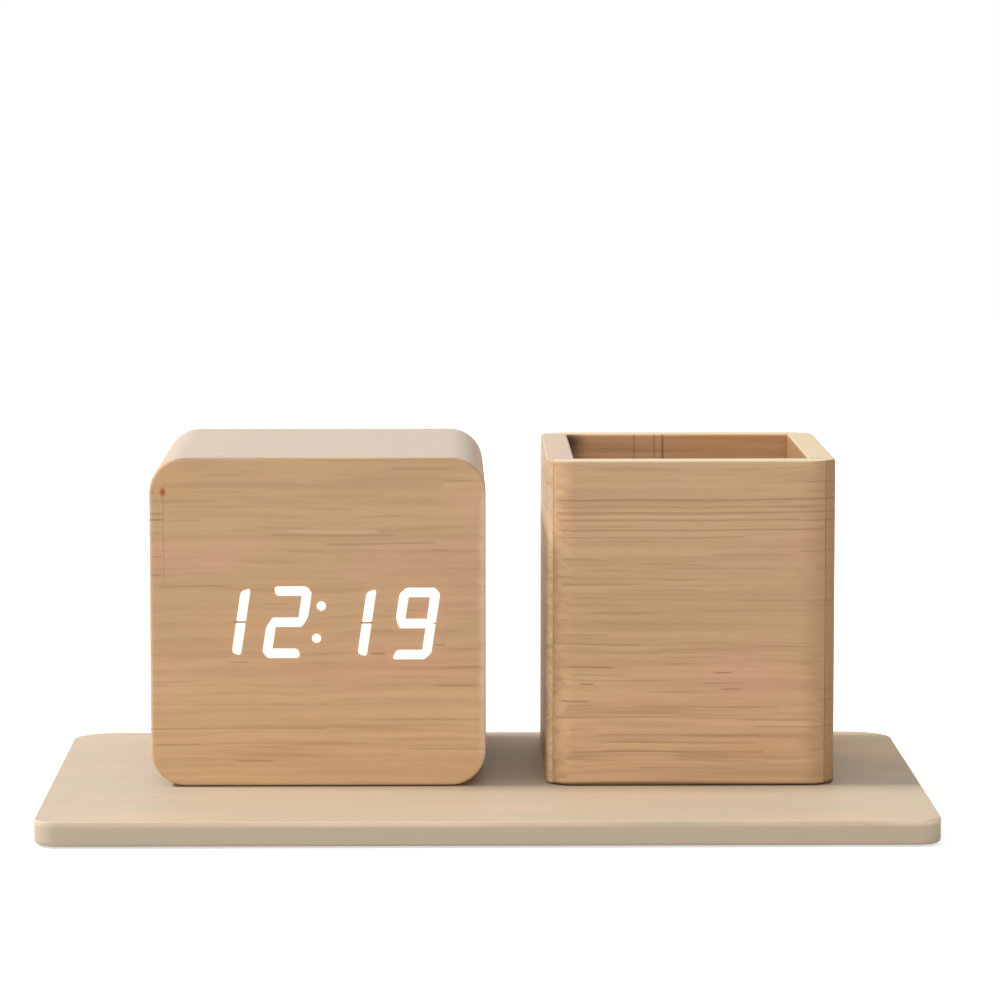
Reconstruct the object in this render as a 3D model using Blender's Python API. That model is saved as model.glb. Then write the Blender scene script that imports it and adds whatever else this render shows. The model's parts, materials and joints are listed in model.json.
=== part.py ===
# Pen holder clock: a bamboo clock cube and a bamboo pen pot on one bamboo board.
# Metres, Z up. The origin is on the table under the middle of the board, and the front faces -Y.

import math

import bmesh
import bpy
import numpy as np
from mathutils import Vector

# Clearances that every piece shares
GLUE_GAP = 0.00015
SEAT_GAP = 0.0002
FIT_GAP = 0.0003
CUT_OVERRUN = 0.001
JOIN_OVERLAP = 0.0003

# Base board
BASE_WIDTH = 0.172
BASE_DEPTH = 0.110
BASE_THICKNESS = 0.0048
BASE_CORNER_RADIUS = 0.005
BASE_TOP_EASE = 0.0008
BASE_BOTTOM_EASE = 0.0011

# Foot pads, set into pockets under the board
PAD_RADIUS = 0.005
PAD_THICKNESS = 0.0010
PAD_STAND = 0.0004
PAD_INSET = 0.012
PAD_EDGE_EASE = 0.00015

# Places of the clock and the pot on the board
BACK_MARGIN = 0.005
CLOCK_SIDE_INSET = 0.020
CLOCK_POT_GAP = 0.012

# Screws that hold the clock and the pot from below
BASE_SCREW_HEAD_RADIUS = 0.0028
BASE_SCREW_HEAD_SINK = 0.0003
BASE_SCREW_CONE = 0.0014
BASE_SCREW_RADIUS = 0.0014
BASE_SCREW_BITE = 0.0032
BASE_SCREW_TIP = 0.0010
CLOCK_SCREW_INSET = 0.016
POT_SCREW_SPACING = 0.033

# Pen pot: four boards with rebated corners, and a floor board
POT_WIDTH = 0.057
POT_DEPTH = 0.065
POT_HEIGHT = 0.0642
POT_WALL = 0.0055
POT_CORNER_RADIUS = 0.0055
POT_CORNER_LIP = 0.0022
POT_RIM_EASE = 0.0004
POT_JOINT_TOLERANCE = 0.00004
POT_FLOOR_THICKNESS = 0.005

# Clock housing and front panel
CLOCK_WIDTH = 0.066
CLOCK_HEIGHT = 0.065
CLOCK_DEPTH = 0.065
CLOCK_CORNER_RADIUS = 0.007
HOUSING_WALL = 0.005
HOUSING_CAVITY_RADIUS = 0.009
HOUSING_EDGE_EASE = 0.0004
REBATE_LIP = 0.0026
FRONT_THICKNESS = 0.004
FRONT_SKIN = 0.0006
FRONT_EDGE_EASE = 0.00025

# Display: four digits of seven segments and a colon
DIGIT_COUNT = 4
DIGIT_PITCH = 0.0127
DIGIT_WIDTH = 0.00787
DIGIT_HEIGHT = 0.0142
DIGIT_SLANT_DEGREES = 8.5
SEGMENT_STROKE = 0.00145
SEGMENT_MITRE_GAP = 0.00018
SEGMENT_MIDDLE_GAP = 0.00035
SEGMENT_END_GAP = 0.0002
SEGMENT_CHAMFER = 0.0004
COLON_RADIUS = 0.00085
COLON_RISE = 0.0032
REFLECTOR_SIDE_MARGIN = 0.0029
REFLECTOR_TOP_MARGIN = 0.0023
REFLECTOR_DEPTH = 0.006
REFLECTOR_CORNER_RADIUS = 0.0008
REFLECTOR_POST_RADIUS = 0.0022
REFLECTOR_POST_OVERLAP = 0.0006
REFLECTOR_POST_INSET = 0.0059
DIFFUSER_THICKNESS = 0.0003
BOARD_THICKNESS = 0.0016
BOARD_CORNER_RADIUS = 0.0008
DISPLAY_BOARD_MARGIN = 0.0004
LED_LENGTH = 0.0016
LED_WIDTH = 0.0008
LED_HEIGHT = 0.0005
DISPLAY_SCREW_HEAD_RADIUS = 0.0019
DISPLAY_SCREW_HEAD_HEIGHT = 0.0012
DISPLAY_SCREW_RADIUS = 0.0010
DISPLAY_SCREW_BITE = 0.0025

# AAA cells
CELL_COUNT = 3
CELL_RADIUS = 0.00525
CELL_LENGTH = 0.0445
CELL_SHOULDER = 0.0006
CELL_NUB_RADIUS = 0.0019
CELL_NUB_LENGTH = 0.0008
CELL_SPACING_GAP = 0.0004
CELL_SIDE_GAP = 0.00055

# Contacts at the ends of the cells
CONTACT_THICKNESS = 0.0004
CONTACT_HEIGHT = 0.0090
CONTACT_WIDTH = 0.0094
CONTACT_TAG_WIDTH = 0.0020
CONTACT_TAG_REACH = 0.0014
SPRING_LENGTH = 0.0033
SPRING_WIRE_RADIUS = 0.0003
SPRING_BASE_RADIUS = 0.0036
SPRING_TIP_RADIUS = 0.0020
SPRING_TURNS = 2.5

# Back cover, moulded with the battery bay
COVER_THICKNESS = 0.0024
COVER_RECESS = 0.0006
COVER_EDGE_EASE = 0.0003
COVER_SCREW_INSET = 0.0033
BAY_BOTTOM_MARGIN = 0.0060
BAY_WALL = 0.0013
BAY_CELL_COVER_GAP = 0.0005
BAY_FLOOR_GAP = 0.0003
BAY_CORNER_RADIUS = 0.0008
CRADLE_THICKNESS = 0.0012
CRADLE_HEIGHT = 0.0026
CRADLE_SPACING = 0.024
MIC_HOLE_RADIUS = 0.0007
SOUND_HOLE_RADIUS = 0.0006
SOUND_HOLE_PITCH = 0.0020
SOUND_HOLE_COUNT = 3
FINGER_SCOOP_WIDTH = 0.012
FINGER_SCOOP_RISE = 0.0035
FINGER_SCOOP_DEPTH = 0.0011

# Small screws of the cover and of the main board
COVER_SCREW_HEAD_RADIUS = 0.0018
COVER_SCREW_HEAD_HEIGHT = 0.0012
COVER_SCREW_HEAD_SINK = 0.0001
COVER_SCREW_RADIUS = 0.0009
COVER_SCREW_BITE = 0.0063
BOARD_SCREW_HEAD_RADIUS = 0.0014
BOARD_SCREW_HEAD_HEIGHT = 0.0010
BOARD_SCREW_RADIUS = 0.0007
BOARD_SCREW_BITE = 0.0038

# Battery door, which swings on two hooks
DOOR_THICKNESS = 0.0014
DOOR_CORNER_RADIUS = 0.0008
DOOR_PIVOT_RISE = 0.0005
HOOK_WIDTH = 0.0056
HOOK_SPACING = 0.028
HOOK_THICKNESS = 0.0012
HOOK_STEM = 0.0016
HOOK_REACH = 0.0010
LATCH_TAB_WIDTH = 0.010
LATCH_TAB_LENGTH = 0.0080
LATCH_SLIT = 0.0006
LATCH_NIB_DEPTH = 0.0019
LATCH_NIB_THICKNESS = 0.0010
GRIP_RIDGE_COUNT = 4
GRIP_RIDGE_WIDTH = 0.0006
GRIP_RIDGE_HEIGHT = 0.00025
GRIP_RIDGE_PITCH = 0.0014

# Buttons and their switches
BUTTON_NAMES = ("set", "up", "down")
BUTTON_PITCH = 0.0085
FIRST_BUTTON_PLACE = -0.020
BUTTON_WIDTH = 0.0064
BUTTON_HEIGHT = 0.0040
BUTTON_STAND = 0.0009
BUTTON_EDGE_EASE = 0.0004
BUTTON_TRAVEL = 0.0005
BUTTON_FLANGE_MARGIN = 0.00075
BUTTON_FLANGE_THICKNESS = 0.0008
BUTTON_STEM_RADIUS = 0.0012
BUTTON_STEM_LENGTH = 0.0011
SWITCH_SIDE = 0.006
SWITCH_CORNER_RADIUS = 0.0005
SWITCH_HEIGHT = 0.0035
PLUNGER_RADIUS = 0.0016
PLUNGER_STAND = 0.0010
PLUNGER_DEPTH = 0.0011

# Main board and what it carries
CONTROL_LINE_SHARE = 0.49
MAIN_BOARD_WIDTH = 0.0468
MAIN_BOARD_HEIGHT = 0.0126
MAIN_BOARD_DROP = 0.0010
BOSS_RADIUS = 0.0018
BOSS_DROP = 0.0052
BOSS_PLACES = (-0.019, 0.0125)
BUZZER_RADIUS = 0.0044
BUZZER_HEIGHT = 0.0040
BUZZER_HOLE_RADIUS = 0.0008
BUZZER_HOLE_DEPTH = 0.0015
BUZZER_PLACE = 0.0054
MIC_RADIUS = 0.0019
MIC_HEIGHT = 0.0022
MIC_PORT_RADIUS = 0.0008
MIC_PORT_DEPTH = 0.0005
MIC_PLACE = 0.0125
JACK_PLACE = 0.0185
JACK_WIDTH = 0.0062
JACK_HEIGHT = 0.0062
JACK_CORNER_RADIUS = 0.0004
JACK_NOSE_RADIUS = 0.0029
JACK_NOSE_SINK = 0.0004
JACK_BORE_RADIUS = 0.00185
JACK_BORE_DEPTH = 0.0062
JACK_PIN_RADIUS = 0.00065
JACK_PIN_SINK = 0.0012
CHIP_LENGTH = 0.010
CHIP_WIDTH = 0.0060
CHIP_HEIGHT = 0.0016
CHIP_PLACE = -0.010
CHIP_DRAFT = 0.0003

# Wires inside the clock
LEAD_RADIUS = 0.0006
LEAD_PLACE = 0.0223
LEAD_LIFT = 0.0045
RIBBON_WIDTH = 0.008
RIBBON_THICKNESS = 0.0009
RIBBON_PLACE = 0.0040
RIBBON_LIFT = 0.0015
RIBBON_SAG_SHARE = 0.45
RIBBON_HANDLE_SHARE = 0.45

# How finely curves are divided
CORNER_STEPS = 6
FINE_CORNER_STEPS = 5
SMALL_CORNER_STEPS = 3
POT_CORNER_STEPS = 4
POT_LIP_STEPS = 3
CRADLE_STEPS = 6
EASE_STEPS = 2
ROUND_STEPS = 18
SCREW_STEPS = 14
PIN_STEPS = 12
SOUND_HOLE_STEPS = 10
SPRING_STEPS = 10
PATH_STEPS = 18


# Where the main pieces stand

BASE_BOTTOM = PAD_STAND
BASE_TOP = BASE_BOTTOM + BASE_THICKNESS
SEAT_HEIGHT = BASE_TOP + SEAT_GAP
FRONT_LINE = BASE_DEPTH / 2 - BACK_MARGIN - CLOCK_DEPTH
CLOCK_CENTRE_X = -BASE_WIDTH / 2 + CLOCK_SIDE_INSET + CLOCK_WIDTH / 2
POT_CENTRE_X = CLOCK_CENTRE_X + CLOCK_WIDTH / 2 + CLOCK_POT_GAP + POT_WIDTH / 2
POT_CENTRE_Y = FRONT_LINE + POT_DEPTH / 2

# The clock's own frame has its origin in the middle of the front face; depths run backwards from it
HOUSING_FRONT = FRONT_THICKNESS + SEAT_GAP
REBATE_DEPTH = COVER_RECESS + COVER_THICKNESS + FIT_GAP
COVER_FACE = CLOCK_DEPTH - COVER_RECESS
REBATE_WIDTH = CLOCK_WIDTH - 2 * REBATE_LIP
REBATE_HEIGHT = CLOCK_HEIGHT - 2 * REBATE_LIP
REBATE_RADIUS = CLOCK_CORNER_RADIUS - REBATE_LIP

# The display stack, from the veneer skin backwards
DIFFUSER_FRONT = FRONT_SKIN + SEAT_GAP
REFLECTOR_FRONT = DIFFUSER_FRONT + DIFFUSER_THICKNESS + SEAT_GAP
REFLECTOR_BACK = REFLECTOR_FRONT + REFLECTOR_DEPTH
DISPLAY_BOARD_FRONT = REFLECTOR_BACK + SEAT_GAP
DISPLAY_BOARD_BACK = DISPLAY_BOARD_FRONT + BOARD_THICKNESS
REFLECTOR_WIDTH = (DIGIT_COUNT - 1) * DIGIT_PITCH + DIGIT_WIDTH + 2 * REFLECTOR_SIDE_MARGIN
REFLECTOR_HEIGHT = DIGIT_HEIGHT + 2 * REFLECTOR_TOP_MARGIN
POST_PLACE_X = REFLECTOR_WIDTH / 2 - REFLECTOR_POST_INSET
POST_PLACE_Z = REFLECTOR_HEIGHT / 2 + REFLECTOR_POST_RADIUS - REFLECTOR_POST_OVERLAP
POST_PLACES = [(x, z) for x in (-POST_PLACE_X, POST_PLACE_X) for z in (-POST_PLACE_Z, POST_PLACE_Z)]

# The cover's own frame has its origin in the middle of its outer face; depths run into the clock
COVER_WIDTH = REBATE_WIDTH - 2 * FIT_GAP
COVER_HEIGHT = REBATE_HEIGHT - 2 * FIT_GAP
COVER_SCREW_X = COVER_WIDTH / 2 - COVER_SCREW_INSET
COVER_SCREW_Z = COVER_HEIGHT / 2 - COVER_SCREW_INSET
COVER_SCREW_PLACES = [
    (x, z) for x in (-COVER_SCREW_X, COVER_SCREW_X) for z in (-COVER_SCREW_Z, COVER_SCREW_Z)
]

# The battery bay, round three cells that lie across the clock
CELL_ROOM = CELL_LENGTH + SPRING_LENGTH + 3 * SEAT_GAP
BAY_WIDTH = CELL_ROOM + 2 * (CONTACT_THICKNESS + SEAT_GAP)
CELL_PITCH = 2 * CELL_RADIUS + CELL_SPACING_GAP
BAY_HEIGHT = (CELL_COUNT - 1) * CELL_PITCH + 2 * (CELL_RADIUS + CELL_SIDE_GAP)
DOOR_RECESS_WIDTH = BAY_WIDTH + 2 * BAY_WALL
DOOR_RECESS_HEIGHT = BAY_HEIGHT + 2 * BAY_WALL
DOOR_RECESS_BOTTOM = -COVER_HEIGHT / 2 + BAY_BOTTOM_MARGIN
DOOR_RECESS_TOP = DOOR_RECESS_BOTTOM + DOOR_RECESS_HEIGHT
BAY_MIDDLE = (DOOR_RECESS_BOTTOM + DOOR_RECESS_TOP) / 2
BAY_BOTTOM = DOOR_RECESS_BOTTOM + BAY_WALL
BAY_TOP = DOOR_RECESS_TOP - BAY_WALL
DOOR_SEAT = DOOR_THICKNESS + FIT_GAP
CELL_DEPTH = DOOR_SEAT + BAY_CELL_COVER_GAP + CELL_RADIUS
BAY_FLOOR = CELL_DEPTH + CELL_RADIUS + BAY_FLOOR_GAP
CELL_HEIGHTS = [BAY_TOP - CELL_SIDE_GAP - CELL_RADIUS - row * CELL_PITCH for row in range(CELL_COUNT)]

# The door hinges about the outer edge of its foot
DOOR_PIVOT = DOOR_RECESS_BOTTOM + FIT_GAP + DOOR_PIVOT_RISE
DOOR_BOTTOM = -DOOR_PIVOT_RISE
DOOR_TOP = DOOR_RECESS_TOP - FIT_GAP - DOOR_PIVOT
DOOR_WIDTH = DOOR_RECESS_WIDTH - 2 * FIT_GAP
HOOK_FRONT = DOOR_SEAT + FIT_GAP / 2

# The controls, in the band above the bay
CONTROL_LINE = DOOR_RECESS_TOP + CONTROL_LINE_SHARE * (COVER_HEIGHT / 2 - DOOR_RECESS_TOP)
FLANGE_FRONT = COVER_THICKNESS + FIT_GAP
STEM_END = FLANGE_FRONT + BUTTON_FLANGE_THICKNESS + BUTTON_STEM_LENGTH
PLUNGER_FRONT = STEM_END + SEAT_GAP
SWITCH_FRONT = PLUNGER_FRONT + PLUNGER_STAND
MAIN_BOARD_FRONT = SWITCH_FRONT + SWITCH_HEIGHT + SEAT_GAP
MAIN_BOARD_BACK = MAIN_BOARD_FRONT + BOARD_THICKNESS
MAIN_BOARD_LINE = CONTROL_LINE - MAIN_BOARD_DROP
BOSS_LINE = CONTROL_LINE - BOSS_DROP


# Materials

def finish(name, colour, roughness, metallic=0.0):
    """One named Principled material."""
    material = bpy.data.materials.get(name)
    if material is None:
        material = bpy.data.materials.new(name)
        material.use_nodes = True
        shader = material.node_tree.nodes["Principled BSDF"]
        shader.inputs["Base Color"].default_value = (*colour, 1.0)
        shader.inputs["Roughness"].default_value = roughness
        shader.inputs["Metallic"].default_value = metallic
        material.diffuse_color = (*colour, 1.0)
    return material


def bamboo():
    return finish("bamboo", (0.55, 0.37, 0.21), 0.55)


def pale_bamboo():
    return finish("pale_bamboo", (0.68, 0.54, 0.38), 0.55)


def black_plastic():
    return finish("black_plastic", (0.02, 0.02, 0.022), 0.45)


def white_plastic():
    return finish("white_plastic", (0.82, 0.82, 0.80), 0.4)


def circuit_board():
    return finish("circuit_board", (0.02, 0.16, 0.07), 0.4)


def plated_steel():
    return finish("plated_steel", (0.72, 0.72, 0.70), 0.3, 1.0)


def rubber():
    return finish("rubber", (0.05, 0.05, 0.05), 0.8)


def cell_wrap():
    return finish("cell_wrap", (0.10, 0.22, 0.42), 0.35)


# Outlines: lists of (across, up) points, anticlockwise about their own middle

def rounded_rectangle(width, height, radius, steps=CORNER_STEPS):
    corners = ((1, 1, 0), (-1, 1, 90), (-1, -1, 180), (1, -1, 270))
    points = []
    for side, end, start in corners:
        centre = (side * (width / 2 - radius), end * (height / 2 - radius))
        for step in range(steps + 1):
            angle = math.radians(start + 90 * step / steps)
            points.append((centre[0] + radius * math.cos(angle), centre[1] + radius * math.sin(angle)))
    return points


def circle(radius, steps=ROUND_STEPS):
    angles = [2 * math.pi * (step + 0.5) / steps for step in range(steps)]
    return [(radius * math.cos(angle), radius * math.sin(angle)) for angle in angles]


def arc(centre, radius, start_angle, end_angle, steps):
    angles = np.linspace(start_angle, end_angle, steps + 1)
    return [(centre[0] + radius * math.cos(angle), centre[1] + radius * math.sin(angle)) for angle in angles]


def box_outline(width, low, high):
    return [(-width / 2, low), (width / 2, low), (width / 2, high), (-width / 2, high)]


def moved(outline, across, up):
    return [(a + across, b + up) for a, b in outline]


def mirrored(outline, across=1, up=1):
    flipped = [(a * across, b * up) for a, b in outline]
    return flipped[::-1] if across * up < 0 else flipped


# Loops: an outline placed in space

def plan(outline, height):
    """An outline seen from above, at a height."""
    return [(a, b, height) for a, b in outline]


def facing(outline, depth):
    """An outline seen from the front, at a depth behind the clock's face."""
    return [(a, depth, b) for a, b in outline]


def inward(outline, depth):
    """An outline in the cover's frame, at a depth into the clock."""
    return [(a, -depth, b) for a, b in outline]


def sideways(outline, reach):
    """An outline of (depth into the clock, height) points, at a place along X."""
    return [(reach, -a, b) for a, b in outline]


def prism(outline, low, high, place=plan):
    return [place(outline, low), place(outline, high)]


def turned(profile, place=plan, across=0, up=0, steps=ROUND_STEPS):
    """Loops of a turned piece from (radius, level) points."""
    return [place(moved(circle(radius, steps), across, up), level) for radius, level in profile]


def eased_levels(low, high, low_ease, high_ease, steps=EASE_STEPS):
    """(inset, level) pairs of an edge rounded by a quarter circle at each end."""
    levels = []
    for step in range(steps + 1):
        angle = math.pi / 2 * step / steps
        levels.append((low_ease * (1 - math.sin(angle)), low + low_ease * (1 - math.cos(angle))))
    for step in range(steps + 1):
        angle = math.pi / 2 * step / steps
        levels.append((high_ease * (1 - math.cos(angle)), high - high_ease * (1 - math.sin(angle))))
    return levels


# Solids

def add_loops(builder, loops, ring):
    rows = [[builder.verts.new(point) for point in loop] for loop in loops]
    if ring:
        rows.append(rows[0])
    else:
        builder.faces.new(rows[0])
        builder.faces.new(rows[-1])
    for low, high in zip(rows, rows[1:]):
        for index, corner in enumerate(low):
            after = (index + 1) % len(low)
            builder.faces.new((corner, low[after], high[after], high[index]))


def place_object(name, data, material, parent, location):
    piece = bpy.data.objects.new(name, data)
    if material is not None:
        data.materials.append(material)
    bpy.context.scene.collection.objects.link(piece)
    piece.parent = parent
    piece.location = location
    return piece


def make(name, solids, material, parent=None, location=(0, 0, 0), ring=False):
    """One named object from lists of loops, each a closed solid with flat ends or a closed ring."""
    builder = bmesh.new()
    for loops in solids:
        add_loops(builder, loops, ring)
    bmesh.ops.recalc_face_normals(builder, faces=builder.faces)
    data = bpy.data.meshes.new(name)
    builder.to_mesh(data)
    builder.free()
    data.shade_smooth()
    data.set_sharp_from_angle(angle=math.radians(30))
    return place_object(name, data, material, parent, location)


def hide_cutter(cutter):
    cutter.hide_render = True
    cutter.display_type = "WIRE"


def combine(piece, operation, name, solids):
    """Cuts the solids out of the piece, or joins them to it, with a Boolean."""
    cutter = make(piece.name + "_" + name, solids, None, piece.parent, piece.location)
    hide_cutter(cutter)
    modifier = piece.modifiers.new(name, "BOOLEAN")
    modifier.operation = operation
    modifier.solver = "EXACT"
    modifier.object = cutter


def cut(piece, name, solids):
    combine(piece, "DIFFERENCE", name, solids)


def join(piece, name, solids):
    combine(piece, "UNION", name, solids)


def frame_of(name, parent, location):
    """An empty that carries the pieces of one sub-assembly."""
    empty = bpy.data.objects.new(name, None)
    bpy.context.scene.collection.objects.link(empty)
    empty.parent = parent
    empty.location = location
    return empty


def tube(name, points, radius, material, parent, bevel_resolution=2):
    """A wire along points, as a bevelled curve with filled ends."""
    curve = bpy.data.curves.new(name, "CURVE")
    curve.dimensions = "3D"
    curve.bevel_depth = radius
    curve.bevel_resolution = bevel_resolution
    curve.use_fill_caps = True
    spline = curve.splines.new("POLY")
    spline.points.add(len(points) - 1)
    for target, point in zip(spline.points, points):
        target.co = (*point, 1.0)
    return place_object(name, curve, material, parent, (0, 0, 0))


def bezier(start, start_handle, end_handle, end, steps=PATH_STEPS):
    """Points along a cubic curve."""
    share = np.linspace(0, 1, steps + 1)[:, None]
    ends = [np.array(point, float) for point in (start, start_handle, end_handle, end)]
    return (
        ends[0] * (1 - share) ** 3
        + ends[1] * 3 * share * (1 - share) ** 2
        + ends[2] * 3 * share**2 * (1 - share)
        + ends[3] * share**3
    )


# Base board, pads and the screws from below

def pad_places():
    across = BASE_WIDTH / 2 - PAD_INSET
    along = BASE_DEPTH / 2 - PAD_INSET
    return [(x, y) for x in (-across, across) for y in (-along, along)]


def base_screw_places():
    first = FRONT_LINE + CLOCK_SCREW_INSET
    second = FRONT_LINE + CLOCK_DEPTH - CLOCK_SCREW_INSET
    half = POT_SCREW_SPACING / 2
    return {
        "clock_screw_front": (CLOCK_CENTRE_X, first),
        "clock_screw_back": (CLOCK_CENTRE_X, second),
        "pot_screw_front": (POT_CENTRE_X, POT_CENTRE_Y - half),
        "pot_screw_back": (POT_CENTRE_X, POT_CENTRE_Y + half),
    }


def base_screw_profile(gap=0.0, tip=BASE_SCREW_TIP, mouth=0.0):
    """(radius, level) points of a countersunk screw, or of the hole that takes it with a gap all round."""
    head = BASE_BOTTOM + BASE_SCREW_HEAD_SINK
    neck = head + BASE_SCREW_CONE
    end = SEAT_HEIGHT + BASE_SCREW_BITE + gap
    head_radius = BASE_SCREW_HEAD_RADIUS + gap
    points = [(head_radius, head - mouth)]
    if mouth:
        points.append((head_radius, head))
    points += [(BASE_SCREW_RADIUS + gap, neck), (BASE_SCREW_RADIUS + gap, end - tip)]
    points.append((BASE_SCREW_RADIUS / 2 if tip else BASE_SCREW_RADIUS + gap, end))
    return points if tip else points[:-1]


def base_screw_holes(places):
    mouth = BASE_SCREW_HEAD_SINK + CUT_OVERRUN
    return [
        turned(base_screw_profile(SEAT_GAP, 0.0, mouth), across=x, up=y, steps=SCREW_STEPS) for x, y in places
    ]


def make_base():
    levels = eased_levels(BASE_BOTTOM, BASE_TOP, BASE_BOTTOM_EASE, BASE_TOP_EASE)
    loops = [
        plan(
            rounded_rectangle(BASE_WIDTH - 2 * inset, BASE_DEPTH - 2 * inset, BASE_CORNER_RADIUS - inset),
            level,
        )
        for inset, level in levels
    ]
    board = make("base_board", [loops], pale_bamboo())
    pocket_top = PAD_THICKNESS + SEAT_GAP
    pockets = [
        turned([(PAD_RADIUS + FIT_GAP, -CUT_OVERRUN), (PAD_RADIUS + FIT_GAP, pocket_top)], across=x, up=y)
        for x, y in pad_places()
    ]
    cut(board, "pad_pockets", pockets)
    cut(board, "screw_holes", base_screw_holes(base_screw_places().values()))


def make_pads():
    profile = [
        (PAD_RADIUS - PAD_EDGE_EASE, 0),
        (PAD_RADIUS, PAD_EDGE_EASE),
        (PAD_RADIUS, PAD_THICKNESS),
    ]
    for number, (x, y) in enumerate(pad_places(), 1):
        make(f"foot_pad_{number}", [turned(profile)], rubber(), None, (x, y, 0))


def make_base_screws():
    for name, (x, y) in base_screw_places().items():
        make(name, [turned(base_screw_profile(), steps=SCREW_STEPS)], plated_steel(), None, (x, y, 0))


# Pen pot. A side board wraps each corner with a thin lip, and the front and back boards sit behind the lips

def lip_angle(offset):
    """The angle on the corner's arc at this distance from the side face, measured from the side face."""
    return math.acos((POT_CORNER_RADIUS - offset) / POT_CORNER_RADIUS)


def front_board_outline():
    """Plan of the front board, about the pot's middle."""
    half_width = POT_WIDTH / 2
    half_depth = POT_DEPTH / 2
    joint = POT_CORNER_LIP + GLUE_GAP
    start = lip_angle(joint)
    right = arc(
        (half_width - POT_CORNER_RADIUS, -half_depth + POT_CORNER_RADIUS),
        POT_CORNER_RADIUS,
        -math.pi / 2,
        -start,
        POT_CORNER_STEPS,
    )
    left = [(-a, b) for a, b in reversed(right)]
    inner = -half_depth + POT_WALL
    return left + right + [(half_width - joint, inner), (-half_width + joint, inner)]


def side_board_outline():
    """Plan of the right side board, about the pot's middle."""
    half_width = POT_WIDTH / 2
    half_depth = POT_DEPTH / 2
    shoulder = half_depth - POT_WALL - GLUE_GAP
    lip = half_width - POT_CORNER_LIP
    inner = half_width - POT_WALL
    front = arc(
        (half_width - POT_CORNER_RADIUS, -half_depth + POT_CORNER_RADIUS),
        POT_CORNER_RADIUS,
        -lip_angle(POT_CORNER_LIP),
        0,
        POT_LIP_STEPS,
    )
    back = [(a, -b) for a, b in reversed(front)]
    return front + back + [(lip, shoulder), (inner, shoulder), (inner, -shoulder), (lip, -shoulder)]


def lies_at(first, second, place):
    """Whether both ends of an edge lie at a place on one side of the pot's middle."""
    same_side = first * second > 0
    return same_side and max(abs(abs(first) - place), abs(abs(second) - place)) < POT_JOINT_TOLERANCE


def is_joint(edge):
    """Whether an edge of a board's top lies along a glued joint."""
    lip = POT_WIDTH / 2 - POT_CORNER_LIP
    shoulder = POT_DEPTH / 2 - POT_WALL - GLUE_GAP
    first, second = (vertex.co for vertex in edge.verts)
    along_lip = lies_at(first.x, second.x, lip) or lies_at(first.x, second.x, lip - GLUE_GAP)
    return along_lip or lies_at(first.y, second.y, shoulder)


def ease_rim(board):
    """Rounds the long edges of a board's top, and leaves the glued joints sharp."""
    builder = bmesh.new()
    builder.from_mesh(board.data)
    edges = []
    for edge in builder.edges:
        if min(vertex.co.z for vertex in edge.verts) > POT_HEIGHT - POT_RIM_EASE and not is_joint(edge):
            edges.append(edge)
    bmesh.ops.bevel(
        builder,
        geom=edges,
        offset=POT_RIM_EASE,
        offset_type="OFFSET",
        segments=EASE_STEPS,
        profile=0.5,
        affect="EDGES",
        clamp_overlap=True,
    )
    builder.to_mesh(board.data)
    builder.free()


def make_pot():
    pot = frame_of("pot", None, (POT_CENTRE_X, POT_CENTRE_Y, SEAT_HEIGHT))
    front = front_board_outline()
    right = side_board_outline()
    boards = {
        "pot_front_board": front,
        "pot_back_board": mirrored(front, up=-1),
        "pot_right_board": right,
        "pot_left_board": mirrored(right, across=-1),
    }
    for name, outline in boards.items():
        ease_rim(make(name, [prism(outline, 0, POT_HEIGHT)], bamboo(), pot))
    inside_width = POT_WIDTH - 2 * (POT_WALL + GLUE_GAP)
    inside_depth = POT_DEPTH - 2 * (POT_WALL + GLUE_GAP)
    square = box_outline(inside_width, -inside_depth / 2, inside_depth / 2)
    floor = make("pot_floor", [prism(square, 0, POT_FLOOR_THICKNESS)], bamboo(), pot)
    places = base_screw_places()
    holes = [
        (places[name][0] - POT_CENTRE_X, places[name][1] - POT_CENTRE_Y)
        for name in ("pot_screw_front", "pot_screw_back")
    ]
    radius = BASE_SCREW_RADIUS + SEAT_GAP
    depth = BASE_SCREW_BITE + SEAT_GAP
    cut(floor, "screw_holes", [
        turned([(radius, -CUT_OVERRUN), (radius, depth)], across=x, up=y, steps=SCREW_STEPS) for x, y in holes
    ])


# Clock housing and front panel

def clock_outline(inset=0.0):
    return rounded_rectangle(CLOCK_WIDTH - 2 * inset, CLOCK_HEIGHT - 2 * inset, CLOCK_CORNER_RADIUS - inset)


def cavity_outline():
    return rounded_rectangle(
        CLOCK_WIDTH - 2 * HOUSING_WALL, CLOCK_HEIGHT - 2 * HOUSING_WALL, HOUSING_CAVITY_RADIUS
    )


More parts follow.
